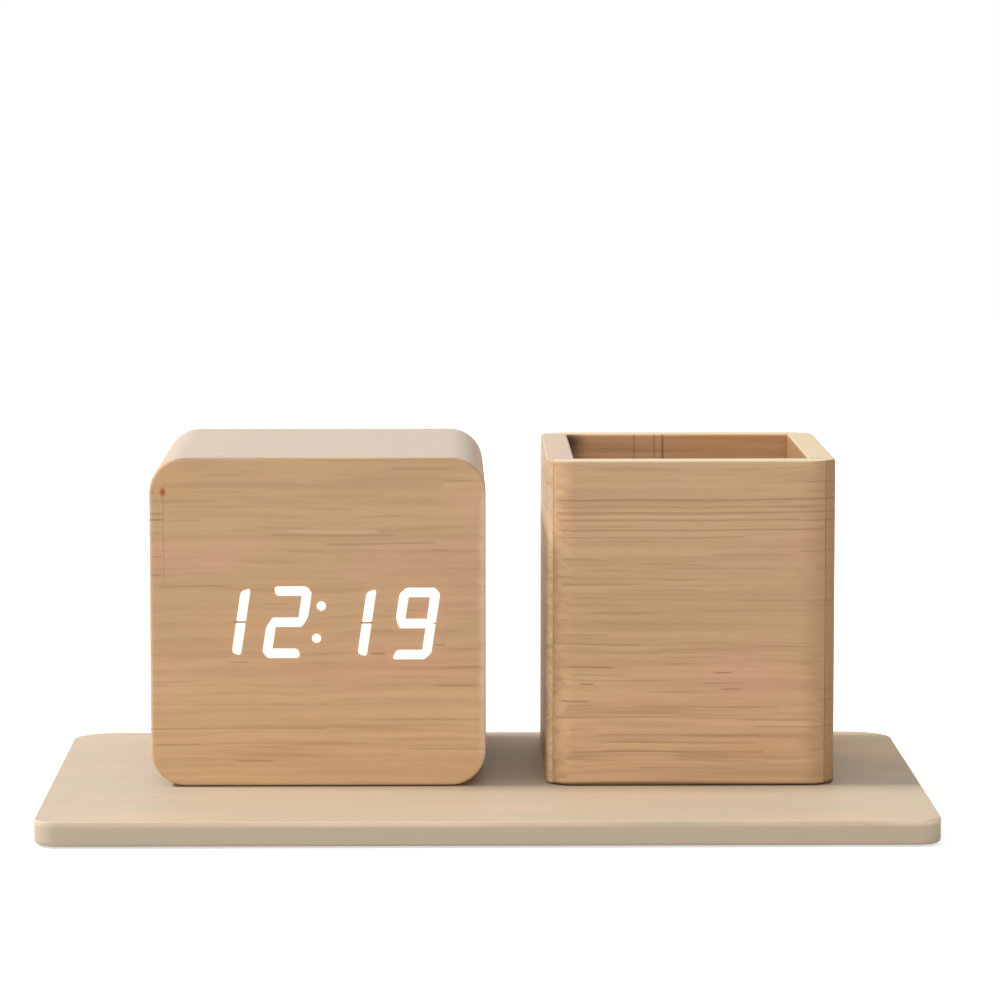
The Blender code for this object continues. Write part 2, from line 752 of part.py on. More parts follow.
def make_housing(clock):
    rebate = rounded_rectangle(REBATE_WIDTH, REBATE_HEIGHT, REBATE_RADIUS)
    ledge = CLOCK_DEPTH - REBATE_DEPTH
    loops = [
        facing(clock_outline(), HOUSING_FRONT),
        facing(clock_outline(), CLOCK_DEPTH - HOUSING_EDGE_EASE),
        facing(clock_outline(HOUSING_EDGE_EASE), CLOCK_DEPTH),
        facing(rebate, CLOCK_DEPTH),
        facing(rebate, ledge),
        facing(cavity_outline(), ledge),
        facing(cavity_outline(), HOUSING_FRONT),
    ]
    housing = make("clock_housing", [loops], bamboo(), clock, ring=True)
    radius = COVER_SCREW_RADIUS + SEAT_GAP
    depth = ledge - COVER_SCREW_BITE - SEAT_GAP
    cut(housing, "cover_screw_holes", [
        turned([(radius, depth), (radius, ledge + CUT_OVERRUN)], facing, x, z, SCREW_STEPS)
        for x, z in COVER_SCREW_PLACES
    ])
    radius = BASE_SCREW_RADIUS + SEAT_GAP
    floor = -CLOCK_HEIGHT / 2
    top = floor + BASE_SCREW_BITE + SEAT_GAP
    cut(housing, "base_screw_holes", [
        turned([(radius, floor - CUT_OVERRUN), (radius, top)], plan, 0, y, SCREW_STEPS)
        for y in (CLOCK_SCREW_INSET, CLOCK_DEPTH - CLOCK_SCREW_INSET)
    ])


def make_front_panel(clock):
    pocket = rounded_rectangle(
        REFLECTOR_WIDTH + 2 * FIT_GAP, REFLECTOR_HEIGHT + 2 * FIT_GAP, REFLECTOR_CORNER_RADIUS
    )
    loops = [
        facing(clock_outline(FRONT_EDGE_EASE), 0),
        facing(clock_outline(), FRONT_EDGE_EASE),
        facing(clock_outline(), FRONT_THICKNESS),
        facing(pocket, FRONT_THICKNESS),
        facing(pocket, FRONT_SKIN),
    ]
    panel = make("front_panel", [loops], bamboo(), clock)
    radius = DISPLAY_SCREW_RADIUS + SEAT_GAP
    end = FRONT_THICKNESS - DISPLAY_SCREW_BITE - SEAT_GAP
    cut(panel, "screw_holes", [
        turned([(radius, end), (radius, FRONT_THICKNESS + CUT_OVERRUN)], facing, x, z, SCREW_STEPS)
        for x, z in POST_PLACES
    ])


# Display

def slanted(outline):
    lean = math.tan(math.radians(DIGIT_SLANT_DEGREES))
    return [(a + b * lean, b) for a, b in outline]


def segment_outlines():
    """The seven segments of one digit about its middle, each as (outline, centre, size of its LED)."""
    a = DIGIT_WIDTH / 2
    b = DIGIT_HEIGHT / 2
    stroke = SEGMENT_STROKE
    mitre = SEGMENT_MITRE_GAP
    chamfer = SEGMENT_CHAMFER
    end = a - stroke - SEGMENT_MIDDLE_GAP
    top = [
        (-a + mitre + chamfer, b),
        (-a + mitre + chamfer / 2, b - chamfer / 2),
        (-a + mitre + stroke, b - stroke),
        (a - mitre - stroke, b - stroke),
        (a - mitre - chamfer / 2, b - chamfer / 2),
        (a - mitre - chamfer, b),
    ]
    upper_right = [
        (a, b - mitre - chamfer),
        (a - chamfer / 2, b - mitre - chamfer / 2),
        (a - stroke, b - mitre - stroke),
        (a - stroke, SEGMENT_END_GAP),
        (a - chamfer / 2, SEGMENT_END_GAP),
        (a, SEGMENT_END_GAP + chamfer / 2),
    ]
    middle = [(-end, -stroke / 2), (end, -stroke / 2), (end, stroke / 2), (-end, stroke / 2)]
    side = a - stroke / 2
    level = b - stroke / 2
    lying = (LED_LENGTH, LED_WIDTH)
    upright = (LED_WIDTH, LED_LENGTH)
    outlines = [(top, (0, level), lying), (mirrored(top, up=-1), (0, -level), lying), (middle, (0, 0), lying)]
    for across in (1, -1):
        for up in (1, -1):
            outlines.append((mirrored(upper_right, across, up), (across * side, up * b / 2), upright))
    return outlines


def digit_places():
    middle = (DIGIT_COUNT - 1) / 2
    return [(place - middle) * DIGIT_PITCH for place in range(DIGIT_COUNT)]


def display_segments():
    """All openings of the display, each as (outline, centre, size of its LED)."""
    openings = []
    for place in digit_places():
        for outline, centre, led in segment_outlines():
            middle = moved(slanted([centre]), place, 0)[0]
            openings.append((moved(slanted(outline), place, 0), middle, led))
    for up in (COLON_RISE, -COLON_RISE):
        middle = slanted([(0, up)])[0]
        openings.append((moved(circle(COLON_RADIUS, SCREW_STEPS), *middle), middle, (LED_WIDTH, LED_WIDTH)))
    return openings


def post_holes(low, high):
    radius = DISPLAY_SCREW_RADIUS + SEAT_GAP
    return [turned([(radius, low), (radius, high)], facing, x, z, SCREW_STEPS) for x, z in POST_PLACES]


def small_plate(width, height, radius):
    return rounded_rectangle(width, height, radius, SMALL_CORNER_STEPS)


def make_diffuser(clock):
    outline = small_plate(REFLECTOR_WIDTH, REFLECTOR_HEIGHT, REFLECTOR_CORNER_RADIUS)
    loops = prism(outline, DIFFUSER_FRONT, DIFFUSER_FRONT + DIFFUSER_THICKNESS, facing)
    make("diffuser_sheet", [loops], white_plastic(), clock)


def make_reflector(clock):
    outline = small_plate(REFLECTOR_WIDTH, REFLECTOR_HEIGHT, REFLECTOR_CORNER_RADIUS)
    block = prism(outline, REFLECTOR_FRONT, REFLECTOR_BACK, facing)
    reflector = make("segment_reflector", [block], white_plastic(), clock)
    posts = [
        turned(
            [(REFLECTOR_POST_RADIUS, FRONT_THICKNESS + SEAT_GAP), (REFLECTOR_POST_RADIUS, REFLECTOR_BACK)],
            facing, x, z,
        )
        for x, z in POST_PLACES
    ]
    join(reflector, "posts", posts)
    low = FRONT_THICKNESS + SEAT_GAP - CUT_OVERRUN
    cut(reflector, "screw_holes", post_holes(low, REFLECTOR_BACK + CUT_OVERRUN))
    openings = [
        prism(outline, REFLECTOR_FRONT - CUT_OVERRUN, REFLECTOR_BACK + CUT_OVERRUN, facing)
        for outline, _, _ in display_segments()
    ]
    cut(reflector, "segment_openings", openings)


def make_display_board(clock):
    height = 2 * (POST_PLACE_Z + REFLECTOR_POST_RADIUS + DISPLAY_BOARD_MARGIN)
    outline = small_plate(REFLECTOR_WIDTH, height, BOARD_CORNER_RADIUS)
    board = make(
        "display_board",
        [prism(outline, DISPLAY_BOARD_FRONT, DISPLAY_BOARD_BACK, facing)],
        circuit_board(),
        clock,
    )
    chips = []
    for _, (x, z), (width, length) in display_segments():
        outline = moved(box_outline(width, -length / 2, length / 2), x, z)
        front = DISPLAY_BOARD_FRONT - LED_HEIGHT
        chips.append(prism(outline, front, DISPLAY_BOARD_FRONT + JOIN_OVERLAP, facing))
    join(board, "led_chips", chips)
    low = DISPLAY_BOARD_FRONT - CUT_OVERRUN
    cut(board, "screw_holes", post_holes(low, DISPLAY_BOARD_BACK + CUT_OVERRUN))


def make_display_screws(clock):
    seat = DISPLAY_BOARD_BACK + SEAT_GAP
    profile = [
        (DISPLAY_SCREW_RADIUS, FRONT_THICKNESS - DISPLAY_SCREW_BITE),
        (DISPLAY_SCREW_RADIUS, seat),
        (DISPLAY_SCREW_HEAD_RADIUS, seat),
        (DISPLAY_SCREW_HEAD_RADIUS, seat + DISPLAY_SCREW_HEAD_HEIGHT / 2),
        (DISPLAY_SCREW_HEAD_RADIUS / 2, seat + DISPLAY_SCREW_HEAD_HEIGHT),
    ]
    for number, (x, z) in enumerate(POST_PLACES, 1):
        loops = turned(profile, facing, steps=SCREW_STEPS)
        make(f"display_screw_{number}", [loops], plated_steel(), clock, (x, 0, z))


# Back cover

def contact_sides():
    """The contact plates as (name, side, rows of cells they touch, has a solder tag)."""
    return (
        ("positive_contact", 1, (0,), True),
        ("link_contact_left", -1, (0, 1), False),
        ("link_contact_right", 1, (1, 2), False),
        ("negative_contact", -1, (2,), True),
    )


def tag_place(side):
    return side * (BAY_WIDTH / 2 - SEAT_GAP - CONTACT_THICKNESS / 2)


def cradle_outline():
    """A rib across the bay's floor, hollowed to the cells, as (depth, height) points."""
    radius = CELL_RADIUS + SEAT_GAP
    crest = BAY_FLOOR - CRADLE_HEIGHT
    half_angle = math.acos((crest - CELL_DEPTH) / radius)
    points = [(BAY_FLOOR + BAY_WALL / 2, BAY_TOP + BAY_WALL / 2), (crest, BAY_TOP + BAY_WALL / 2)]
    for height in CELL_HEIGHTS:
        points += arc((CELL_DEPTH, height), radius, half_angle, -half_angle, CRADLE_STEPS)
    points += [(crest, BAY_BOTTOM - BAY_WALL / 2), (BAY_FLOOR + BAY_WALL / 2, BAY_BOTTOM - BAY_WALL / 2)]
    return points


def join_bay(panel):
    tub = moved(small_plate(DOOR_RECESS_WIDTH, DOOR_RECESS_HEIGHT, BAY_CORNER_RADIUS), 0, BAY_MIDDLE)
    join(panel, "bay_tub", [prism(tub, COVER_THICKNESS - JOIN_OVERLAP, BAY_FLOOR + BAY_WALL, inward)])
    recess = [prism(tub, -CUT_OVERRUN, DOOR_SEAT, inward)]
    cut(panel, "door_recess", recess)
    room = moved(small_plate(BAY_WIDTH, BAY_HEIGHT, BAY_CORNER_RADIUS), 0, BAY_MIDDLE)
    cut(panel, "bay_room", [prism(room, 0, BAY_FLOOR, inward)])
    half = CRADLE_THICKNESS / 2
    join(panel, "cell_cradles", [
        prism(cradle_outline(), middle - half, middle + half, sideways)
        for middle in (-CRADLE_SPACING / 2, CRADLE_SPACING / 2)
    ])


def cut_bay_slots(panel):
    """Slots for the solder tags, the door's hooks and the latch."""
    tags = []
    for _, side, rows, has_tag in contact_sides():
        if has_tag:
            width = CONTACT_THICKNESS + 2 * SEAT_GAP
            half = CONTACT_TAG_WIDTH / 2 + SEAT_GAP
            outline = moved(box_outline(width, -half, half), tag_place(side), CELL_HEIGHTS[rows[0]])
            tags.append(prism(outline, BAY_FLOOR - JOIN_OVERLAP, BAY_FLOOR + BAY_WALL + CUT_OVERRUN, inward))
    cut(panel, "tag_slots", tags)
    hooks = []
    low = DOOR_PIVOT + DOOR_BOTTOM - FIT_GAP - HOOK_REACH - FIT_GAP
    for side in (-1, 1):
        outline = box_outline(HOOK_WIDTH + 2 * FIT_GAP, low, BAY_BOTTOM + CUT_OVERRUN)
        outline = moved(outline, side * HOOK_SPACING / 2, 0)
        hooks.append(prism(outline, DOOR_SEAT - FIT_GAP / 2, HOOK_FRONT + 2 * HOOK_THICKNESS, inward))
    cut(panel, "hook_slots", hooks)
    width = LATCH_TAB_WIDTH - 2 * LATCH_SLIT
    catch = box_outline(width, BAY_TOP - CUT_OVERRUN, DOOR_RECESS_TOP + CUT_OVERRUN)
    depth = DOOR_SEAT + LATCH_NIB_THICKNESS / 2
    cut(panel, "latch_catch", [prism(catch, depth, depth + LATCH_NIB_THICKNESS, inward)])


def button_places():
    return [FIRST_BUTTON_PLACE + number * BUTTON_PITCH for number in range(len(BUTTON_NAMES))]


def button_outline(margin=0.0):
    width = BUTTON_WIDTH + 2 * margin
    height = BUTTON_HEIGHT + 2 * margin
    return rounded_rectangle(width, height, height / 2 - JOIN_OVERLAP, FINE_CORNER_STEPS)


def cut_control_holes(panel):
    through = (-CUT_OVERRUN, COVER_THICKNESS + CUT_OVERRUN)
    opening = button_outline(FIT_GAP)
    holes = [prism(moved(opening, x, CONTROL_LINE), *through, inward) for x in button_places()]
    port = [(MIC_HOLE_RADIUS, level) for level in through]
    holes.append(turned(port, inward, MIC_PLACE, CONTROL_LINE, PIN_STEPS))
    nose = [(JACK_NOSE_RADIUS + FIT_GAP, level) for level in through]
    holes.append(turned(nose, inward, JACK_PLACE, CONTROL_LINE))
    sound = [(SOUND_HOLE_RADIUS, level) for level in through]
    middle = (SOUND_HOLE_COUNT - 1) / 2
    for row in range(SOUND_HOLE_COUNT):
        for column in range(SOUND_HOLE_COUNT):
            x = BUZZER_PLACE + (column - middle) * SOUND_HOLE_PITCH
            z = CONTROL_LINE + (row - middle) * SOUND_HOLE_PITCH
            holes.append(turned(sound, inward, x, z, SOUND_HOLE_STEPS))
    cut(panel, "control_holes", holes)


def cut_cover_screw_holes(panel):
    seat = COVER_SCREW_HEAD_SINK + COVER_SCREW_HEAD_HEIGHT + SEAT_GAP
    head = COVER_SCREW_HEAD_RADIUS + FIT_GAP
    shank = COVER_SCREW_RADIUS + SEAT_GAP
    end = COVER_THICKNESS + CUT_OVERRUN
    profile = [(head, -CUT_OVERRUN), (head, seat), (shank, seat), (shank, end)]
    cut(panel, "screw_holes", [turned(profile, inward, x, z, SCREW_STEPS) for x, z in COVER_SCREW_PLACES])


def cut_finger_scoop(panel):
    scoop = rounded_rectangle(FINGER_SCOOP_WIDTH, 2 * FINGER_SCOOP_RISE, FINGER_SCOOP_RISE - JOIN_OVERLAP)
    floor = rounded_rectangle(
        FINGER_SCOOP_WIDTH - 2 * FINGER_SCOOP_DEPTH,
        2 * (FINGER_SCOOP_RISE - FINGER_SCOOP_DEPTH),
        FINGER_SCOOP_RISE - FINGER_SCOOP_DEPTH - JOIN_OVERLAP,
    )
    loops = [
        inward(moved(scoop, 0, DOOR_RECESS_TOP), -CUT_OVERRUN),
        inward(moved(scoop, 0, DOOR_RECESS_TOP), 0),
        inward(moved(floor, 0, DOOR_RECESS_TOP), FINGER_SCOOP_DEPTH),
    ]
    cut(panel, "finger_scoop", [loops])


def join_bosses(panel):
    end = MAIN_BOARD_FRONT - SEAT_GAP
    start = COVER_THICKNESS - JOIN_OVERLAP
    outer = [turned([(BOSS_RADIUS, start), (BOSS_RADIUS, end)], inward, x, BOSS_LINE) for x in BOSS_PLACES]
    join(panel, "bosses", outer)
    radius = BOARD_SCREW_RADIUS + SEAT_GAP
    depth = end - BOARD_SCREW_BITE - SEAT_GAP
    hole = [(radius, depth), (radius, end + CUT_OVERRUN)]
    cut(panel, "boss_holes", [turned(hole, inward, x, BOSS_LINE, PIN_STEPS) for x in BOSS_PLACES])


def make_cover(cover):
    radius = REBATE_RADIUS - FIT_GAP
    outer = rounded_rectangle(COVER_WIDTH, COVER_HEIGHT, radius)
    inset = COVER_EDGE_EASE
    face = rounded_rectangle(COVER_WIDTH - 2 * inset, COVER_HEIGHT - 2 * inset, radius - inset)
    loops = [inward(face, 0), inward(outer, COVER_EDGE_EASE), inward(outer, COVER_THICKNESS)]
    panel = make("back_cover", [loops], black_plastic(), cover)
    join_bay(panel)
    cut_bay_slots(panel)
    join_bosses(panel)
    cut_control_holes(panel)
    cut_cover_screw_holes(panel)
    cut_finger_scoop(panel)


def make_cover_screws(cover):
    head = COVER_SCREW_HEAD_SINK
    seat = head + COVER_SCREW_HEAD_HEIGHT
    end = REBATE_DEPTH - COVER_RECESS + COVER_SCREW_BITE
    profile = [
        (COVER_SCREW_HEAD_RADIUS / 2, head),
        (COVER_SCREW_HEAD_RADIUS, head + COVER_SCREW_HEAD_HEIGHT / 2),
        (COVER_SCREW_HEAD_RADIUS, seat),
        (COVER_SCREW_RADIUS, seat),
        (COVER_SCREW_RADIUS, end - COVER_SCREW_RADIUS),
        (COVER_SCREW_RADIUS / 2, end),
    ]
    for number, (x, z) in enumerate(COVER_SCREW_PLACES, 1):
        loops = turned(profile, inward, steps=SCREW_STEPS)
        make(f"cover_screw_{number}", [loops], plated_steel(), cover, (x, 0, z))


# Battery door, drawn about its hinge axis

def hook_outline():
    """A hook as (depth, height) points: it goes in past the door's seat and down behind the cover's skin."""
    root = DOOR_THICKNESS - JOIN_OVERLAP
    top = DOOR_BOTTOM + HOOK_STEM + SEAT_GAP
    bottom = DOOR_BOTTOM - FIT_GAP - HOOK_REACH
    back = HOOK_FRONT + HOOK_THICKNESS
    return [
        (root, DOOR_BOTTOM + SEAT_GAP),
        (HOOK_FRONT, DOOR_BOTTOM + SEAT_GAP),
        (HOOK_FRONT, bottom),
        (back, bottom),
        (back, top),
        (root, top),
    ]


def make_door(cover):
    middle = (DOOR_TOP + DOOR_BOTTOM) / 2
    outline = moved(small_plate(DOOR_WIDTH, DOOR_TOP - DOOR_BOTTOM, DOOR_CORNER_RADIUS), 0, middle)
    panel = prism(outline, 0, DOOR_THICKNESS, inward)
    door = make("battery_door", [panel], black_plastic(), cover, (0, 0, DOOR_PIVOT))
    half = HOOK_WIDTH / 2
    join(door, "hooks", [
        prism(hook_outline(), place - half, place + half, sideways)
        for place in (-HOOK_SPACING / 2, HOOK_SPACING / 2)
    ])
    slit = box_outline(LATCH_SLIT, DOOR_TOP - LATCH_TAB_LENGTH, DOOR_TOP + CUT_OVERRUN)
    cut(door, "latch_slits", [
        prism(moved(slit, place, 0), -CUT_OVERRUN, DOOR_THICKNESS + CUT_OVERRUN, inward)
        for place in (-LATCH_TAB_WIDTH / 2, LATCH_TAB_WIDTH / 2)
    ])
    top = BAY_TOP - DOOR_PIVOT - 2 * FIT_GAP
    nib = box_outline(LATCH_TAB_WIDTH - 4 * LATCH_SLIT, top - LATCH_NIB_THICKNESS, top)
    end = DOOR_THICKNESS + LATCH_NIB_DEPTH
    join(door, "latch_nib", [prism(nib, DOOR_THICKNESS - JOIN_OVERLAP, end, inward)])
    ridges = []
    for number in range(GRIP_RIDGE_COUNT):
        low = DOOR_TOP - (number + 1) * GRIP_RIDGE_PITCH
        ridge = box_outline(LATCH_TAB_WIDTH - 4 * LATCH_SLIT, low, low + GRIP_RIDGE_WIDTH)
        ridges.append(prism(ridge, -GRIP_RIDGE_HEIGHT, JOIN_OVERLAP, inward))
    join(door, "grip_ridges", ridges)


# Cells and contacts

def cell_direction(row):
    """+1 where the cell's nub points to +X, else -1."""
    return 1 if row % 2 == 0 else -1


def along(outline, reach):
    """An outline of (back, up) points, at a place along X."""
    return [(reach, a, b) for a, b in outline]


def make_cells(cover):
    body_end = CELL_LENGTH - CELL_NUB_LENGTH
    profile = [
        (CELL_RADIUS - CELL_SHOULDER, 0),
        (CELL_RADIUS, CELL_SHOULDER),
        (CELL_RADIUS, body_end - CELL_SHOULDER),
        (CELL_RADIUS - CELL_SHOULDER, body_end),
        (CELL_NUB_RADIUS, body_end),
        (CELL_NUB_RADIUS, CELL_LENGTH),
    ]
    for row, height in enumerate(CELL_HEIGHTS):
        facing_way = cell_direction(row)
        nub = facing_way * (BAY_WIDTH / 2 - CONTACT_THICKNESS - 2 * SEAT_GAP)
        loops = [
            along(circle(radius), nub + facing_way * (level - CELL_LENGTH)) for radius, level in profile
        ]
        make(f"battery_cell_{row + 1}", [loops], cell_wrap(), cover, (0, -CELL_DEPTH, height))


def make_contacts(cover):
    for name, side, rows, has_tag in contact_sides():
        heights = [CELL_HEIGHTS[row] for row in rows]
        low = min(heights) - CONTACT_WIDTH / 2
        high = max(heights) + CONTACT_WIDTH / 2
        front = CELL_DEPTH - CONTACT_HEIGHT / 2
        back = BAY_FLOOR - SEAT_GAP
        outline = [(front, high), (front, low), (back, low)]
        if has_tag:
            half = CONTACT_TAG_WIDTH / 2
            end = BAY_FLOOR + BAY_WALL + CONTACT_TAG_REACH
            outline += [(back, heights[0] - half), (end, heights[0] - half)]
            outline += [(end, heights[0] + half), (back, heights[0] + half)]
        outline.append((back, high))
        half = CONTACT_THICKNESS / 2
        centre = tag_place(side)
        make(name, [prism(outline, centre - half, centre + half, sideways)], plated_steel(), cover)


def spring_points(side):
    """A conical coil from the contact plate to the cell's flat end, with its wire's centre line."""
    length = SPRING_LENGTH - 2 * SEAT_GAP - 2 * SPRING_WIRE_RADIUS
    plate = BAY_WIDTH / 2 - CONTACT_THICKNESS - 2 * SEAT_GAP - SPRING_WIRE_RADIUS
    share = np.linspace(0, 1, int(SPRING_TURNS * SPRING_STEPS) + 1)
    angle = 2 * math.pi * SPRING_TURNS * share
    radius = SPRING_BASE_RADIUS + (SPRING_TIP_RADIUS - SPRING_BASE_RADIUS) * share
    reach = side * (plate - length * share)
    return np.stack([reach, radius * np.cos(angle), radius * np.sin(angle)], axis=1)


def least_gap(points):
    """The least gap between one turn of the wire and the next, from points most of a turn apart."""
    apart = []
    for first in range(len(points)):
        for second in range(first + SPRING_STEPS - 2, len(points)):
            apart.append(np.linalg.norm(points[first] - points[second]))
    return min(apart) - 2 * SPRING_WIRE_RADIUS


def make_springs(cover):
    for row, height in enumerate(CELL_HEIGHTS):
        points = spring_points(-cell_direction(row))
        print(f"least gap in contact spring {row + 1}: {1000 * least_gap(points):.2f} mm")
        centred = points + np.array([0, -CELL_DEPTH, height])
        tube(f"contact_spring_{row + 1}", centred, SPRING_WIRE_RADIUS, plated_steel(), cover, 1)


# Buttons and switches. Each button's origin lies on the axis that it slides along

def make_buttons(cover):
    for name, place in zip(BUTTON_NAMES, button_places()):
        cap = [
            inward(button_outline(-BUTTON_EDGE_EASE), -BUTTON_STAND),
            inward(button_outline(), BUTTON_EDGE_EASE - BUTTON_STAND),
            inward(button_outline(), FLANGE_FRONT),
            inward(button_outline(BUTTON_FLANGE_MARGIN), FLANGE_FRONT),
            inward(button_outline(BUTTON_FLANGE_MARGIN), FLANGE_FRONT + BUTTON_FLANGE_THICKNESS),
        ]
        button = make(f"{name}_button", [cap], black_plastic(), cover, (place, 0, CONTROL_LINE))
        start = FLANGE_FRONT + BUTTON_FLANGE_THICKNESS - JOIN_OVERLAP
        join(button, "stem", [turned([(BUTTON_STEM_RADIUS, start), (BUTTON_STEM_RADIUS, STEM_END)], inward)])


def make_switches(cover):
    square = small_plate(SWITCH_SIDE, SWITCH_SIDE, SWITCH_CORNER_RADIUS)
    bore = PLUNGER_RADIUS + SEAT_GAP
    bottom = SWITCH_FRONT + PLUNGER_DEPTH + BUTTON_TRAVEL + FIT_GAP
    for name, place in zip(BUTTON_NAMES, button_places()):
        location = (place, 0, CONTROL_LINE)
        body = prism(square, SWITCH_FRONT, SWITCH_FRONT + SWITCH_HEIGHT, inward)
        switch = make(f"{name}_switch", [body], black_plastic(), cover, location)
        cut(switch, "bore", [turned([(bore, SWITCH_FRONT - CUT_OVERRUN), (bore, bottom)], inward)])
        back = SWITCH_FRONT + PLUNGER_DEPTH
        plunger = turned([(PLUNGER_RADIUS, PLUNGER_FRONT), (PLUNGER_RADIUS, back)], inward)
        make(f"{name}_plunger", [plunger], white_plastic(), cover, location)


# Main board

def make_main_board(cover):
    outline = small_plate(MAIN_BOARD_WIDTH, MAIN_BOARD_HEIGHT, BOARD_CORNER_RADIUS)
    loops = prism(moved(outline, 0, MAIN_BOARD_LINE), MAIN_BOARD_FRONT, MAIN_BOARD_BACK, inward)
    board = make("main_board", [loops], circuit_board(), cover)
    radius = BOARD_SCREW_RADIUS + SEAT_GAP
    hole = [(radius, MAIN_BOARD_FRONT - CUT_OVERRUN), (radius, MAIN_BOARD_BACK + CUT_OVERRUN)]
    cut(board, "screw_holes", [turned(hole, inward, x, BOSS_LINE, PIN_STEPS) for x in BOSS_PLACES])


def make_board_screws(cover):
    seat = MAIN_BOARD_BACK + SEAT_GAP
    tip = MAIN_BOARD_FRONT - SEAT_GAP - BOARD_SCREW_BITE
    profile = [
        (BOARD_SCREW_RADIUS / 2, tip),
        (BOARD_SCREW_RADIUS, tip + BOARD_SCREW_RADIUS),
        (BOARD_SCREW_RADIUS, seat),
        (BOARD_SCREW_HEAD_RADIUS, seat),
        (BOARD_SCREW_HEAD_RADIUS, seat + BOARD_SCREW_HEAD_HEIGHT),
    ]
    for number, place in enumerate(BOSS_PLACES, 1):
        loops = turned(profile, inward, steps=PIN_STEPS)
        make(f"board_screw_{number}", [loops], plated_steel(), cover, (place, 0, BOSS_LINE))


def make_buzzer(cover):
    seat = MAIN_BOARD_FRONT - SEAT_GAP
    front = seat - BUZZER_HEIGHT
    profile = [
        (BUZZER_RADIUS, seat),
        (BUZZER_RADIUS, front),
        (BUZZER_HOLE_RADIUS, front),
        (BUZZER_HOLE_RADIUS, front + BUZZER_HOLE_DEPTH),
    ]
    make("buzzer", [turned(profile, inward)], black_plastic(), cover, (BUZZER_PLACE, 0, CONTROL_LINE))


def make_microphone(cover):
    seat = MAIN_BOARD_FRONT - SEAT_GAP
    front = seat - MIC_HEIGHT
    profile = [
        (MIC_RADIUS, seat),
        (MIC_RADIUS, front),
        (MIC_PORT_RADIUS, front),
        (MIC_PORT_RADIUS, front + MIC_PORT_DEPTH),
    ]
    loops = turned(profile, inward, steps=SCREW_STEPS)
    make("microphone", [loops], plated_steel(), cover, (MIC_PLACE, 0, CONTROL_LINE))


def make_jack(cover):
    """A round power socket: a square body, a round nose in the cover's hole, a bore and its centre pin."""
    square = rounded_rectangle(JACK_WIDTH, JACK_HEIGHT, JACK_CORNER_RADIUS, FINE_CORNER_STEPS)
    top = COVER_THICKNESS + FIT_GAP
    bottom = JACK_NOSE_SINK + JACK_BORE_DEPTH

    def ring(radius, depth):
        return inward(circle(radius, len(square)), depth)

    loops = [
        inward(square, MAIN_BOARD_FRONT - SEAT_GAP),
        inward(square, top),
        ring(JACK_NOSE_RADIUS, top),
        ring(JACK_NOSE_RADIUS, JACK_NOSE_SINK),
        ring(JACK_BORE_RADIUS, JACK_NOSE_SINK),
        ring(JACK_BORE_RADIUS, bottom),
        ring(JACK_PIN_RADIUS, bottom),
        ring(JACK_PIN_RADIUS, JACK_NOSE_SINK + JACK_PIN_SINK),
    ]
    make("power_jack", [loops], black_plastic(), cover, (JACK_PLACE, 0, CONTROL_LINE))


def make_chip(cover):
    seat = MAIN_BOARD_BACK + SEAT_GAP
    middle = seat + CHIP_HEIGHT / 2
    half = CHIP_WIDTH / 2
    wide = box_outline(CHIP_LENGTH, -half, half)
    narrow = box_outline(CHIP_LENGTH - 2 * CHIP_DRAFT, CHIP_DRAFT - half, half - CHIP_DRAFT)
    loops = [inward(narrow, seat), inward(wide, middle), inward(narrow, seat + CHIP_HEIGHT)]
    make("clock_chip", [loops], black_plastic(), cover, (CHIP_PLACE, 0, CONTROL_LINE))


# Wires

def make_leads(cover):
    start_depth = BAY_FLOOR + BAY_WALL + CONTACT_TAG_REACH + FIT_GAP
    end_depth = MAIN_BOARD_BACK + FIT_GAP
    end_height = MAIN_BOARD_LINE - MAIN_BOARD_HEIGHT / 2 + 2 * LEAD_RADIUS
    names = {"positive_contact": "positive_lead", "negative_contact": "negative_lead"}
    for name, side, rows, has_tag in contact_sides():
        if not has_tag:
            continue
        start = Vector((tag_place(side), -start_depth, CELL_HEIGHTS[rows[0]]))
        end = Vector((side * LEAD_PLACE, -end_depth, end_height))
        lift = Vector((0, -2 * LEAD_LIFT, 0))
        points = bezier(start, start + lift / 2, end + lift, end)
        material = finish(names[name] + "_sleeve", (0.5, 0.02, 0.02) if side > 0 else (0.03, 0.03, 0.03), 0.4)
        tube(names[name], points, LEAD_RADIUS, material, cover)


def make_ribbon(cover):
    """A flat cable from the main board to the display board, carried along a sagging curve."""
    start_depth = MAIN_BOARD_BACK + FIT_GAP
    end_depth = COVER_FACE - DISPLAY_BOARD_BACK - FIT_GAP
    span = end_depth - start_depth
    start = Vector((0, -start_depth, CONTROL_LINE + RIBBON_LIFT))
    end = Vector((0, -end_depth, 0))
    handle = Vector((0, -span * RIBBON_HANDLE_SHARE, 0))
    sag = Vector((0, 0, -span * RIBBON_SAG_SHARE * RIBBON_HANDLE_SHARE))
    points = bezier(start, start + handle, end - handle + sag, end)
    along_path = np.gradient(points, axis=0)
    along_path[0] = (0, -1, 0)
    along_path[-1] = (0, -1, 0)
    along_path /= np.linalg.norm(along_path, axis=1)[:, None]
    across = np.stack([np.zeros(len(points)), -along_path[:, 2], along_path[:, 1]], axis=1)
    half_width = np.array((RIBBON_WIDTH / 2, 0, 0))
    loops = []
    for point, normal in zip(points, across * RIBBON_THICKNESS / 2):
        corners = ((-1, -1), (1, -1), (1, 1), (-1, 1))
        loops.append([tuple(point + side * half_width + up * normal) for side, up in corners])
    make("display_ribbon", [loops], white_plastic(), cover, (RIBBON_PLACE, 0, 0))


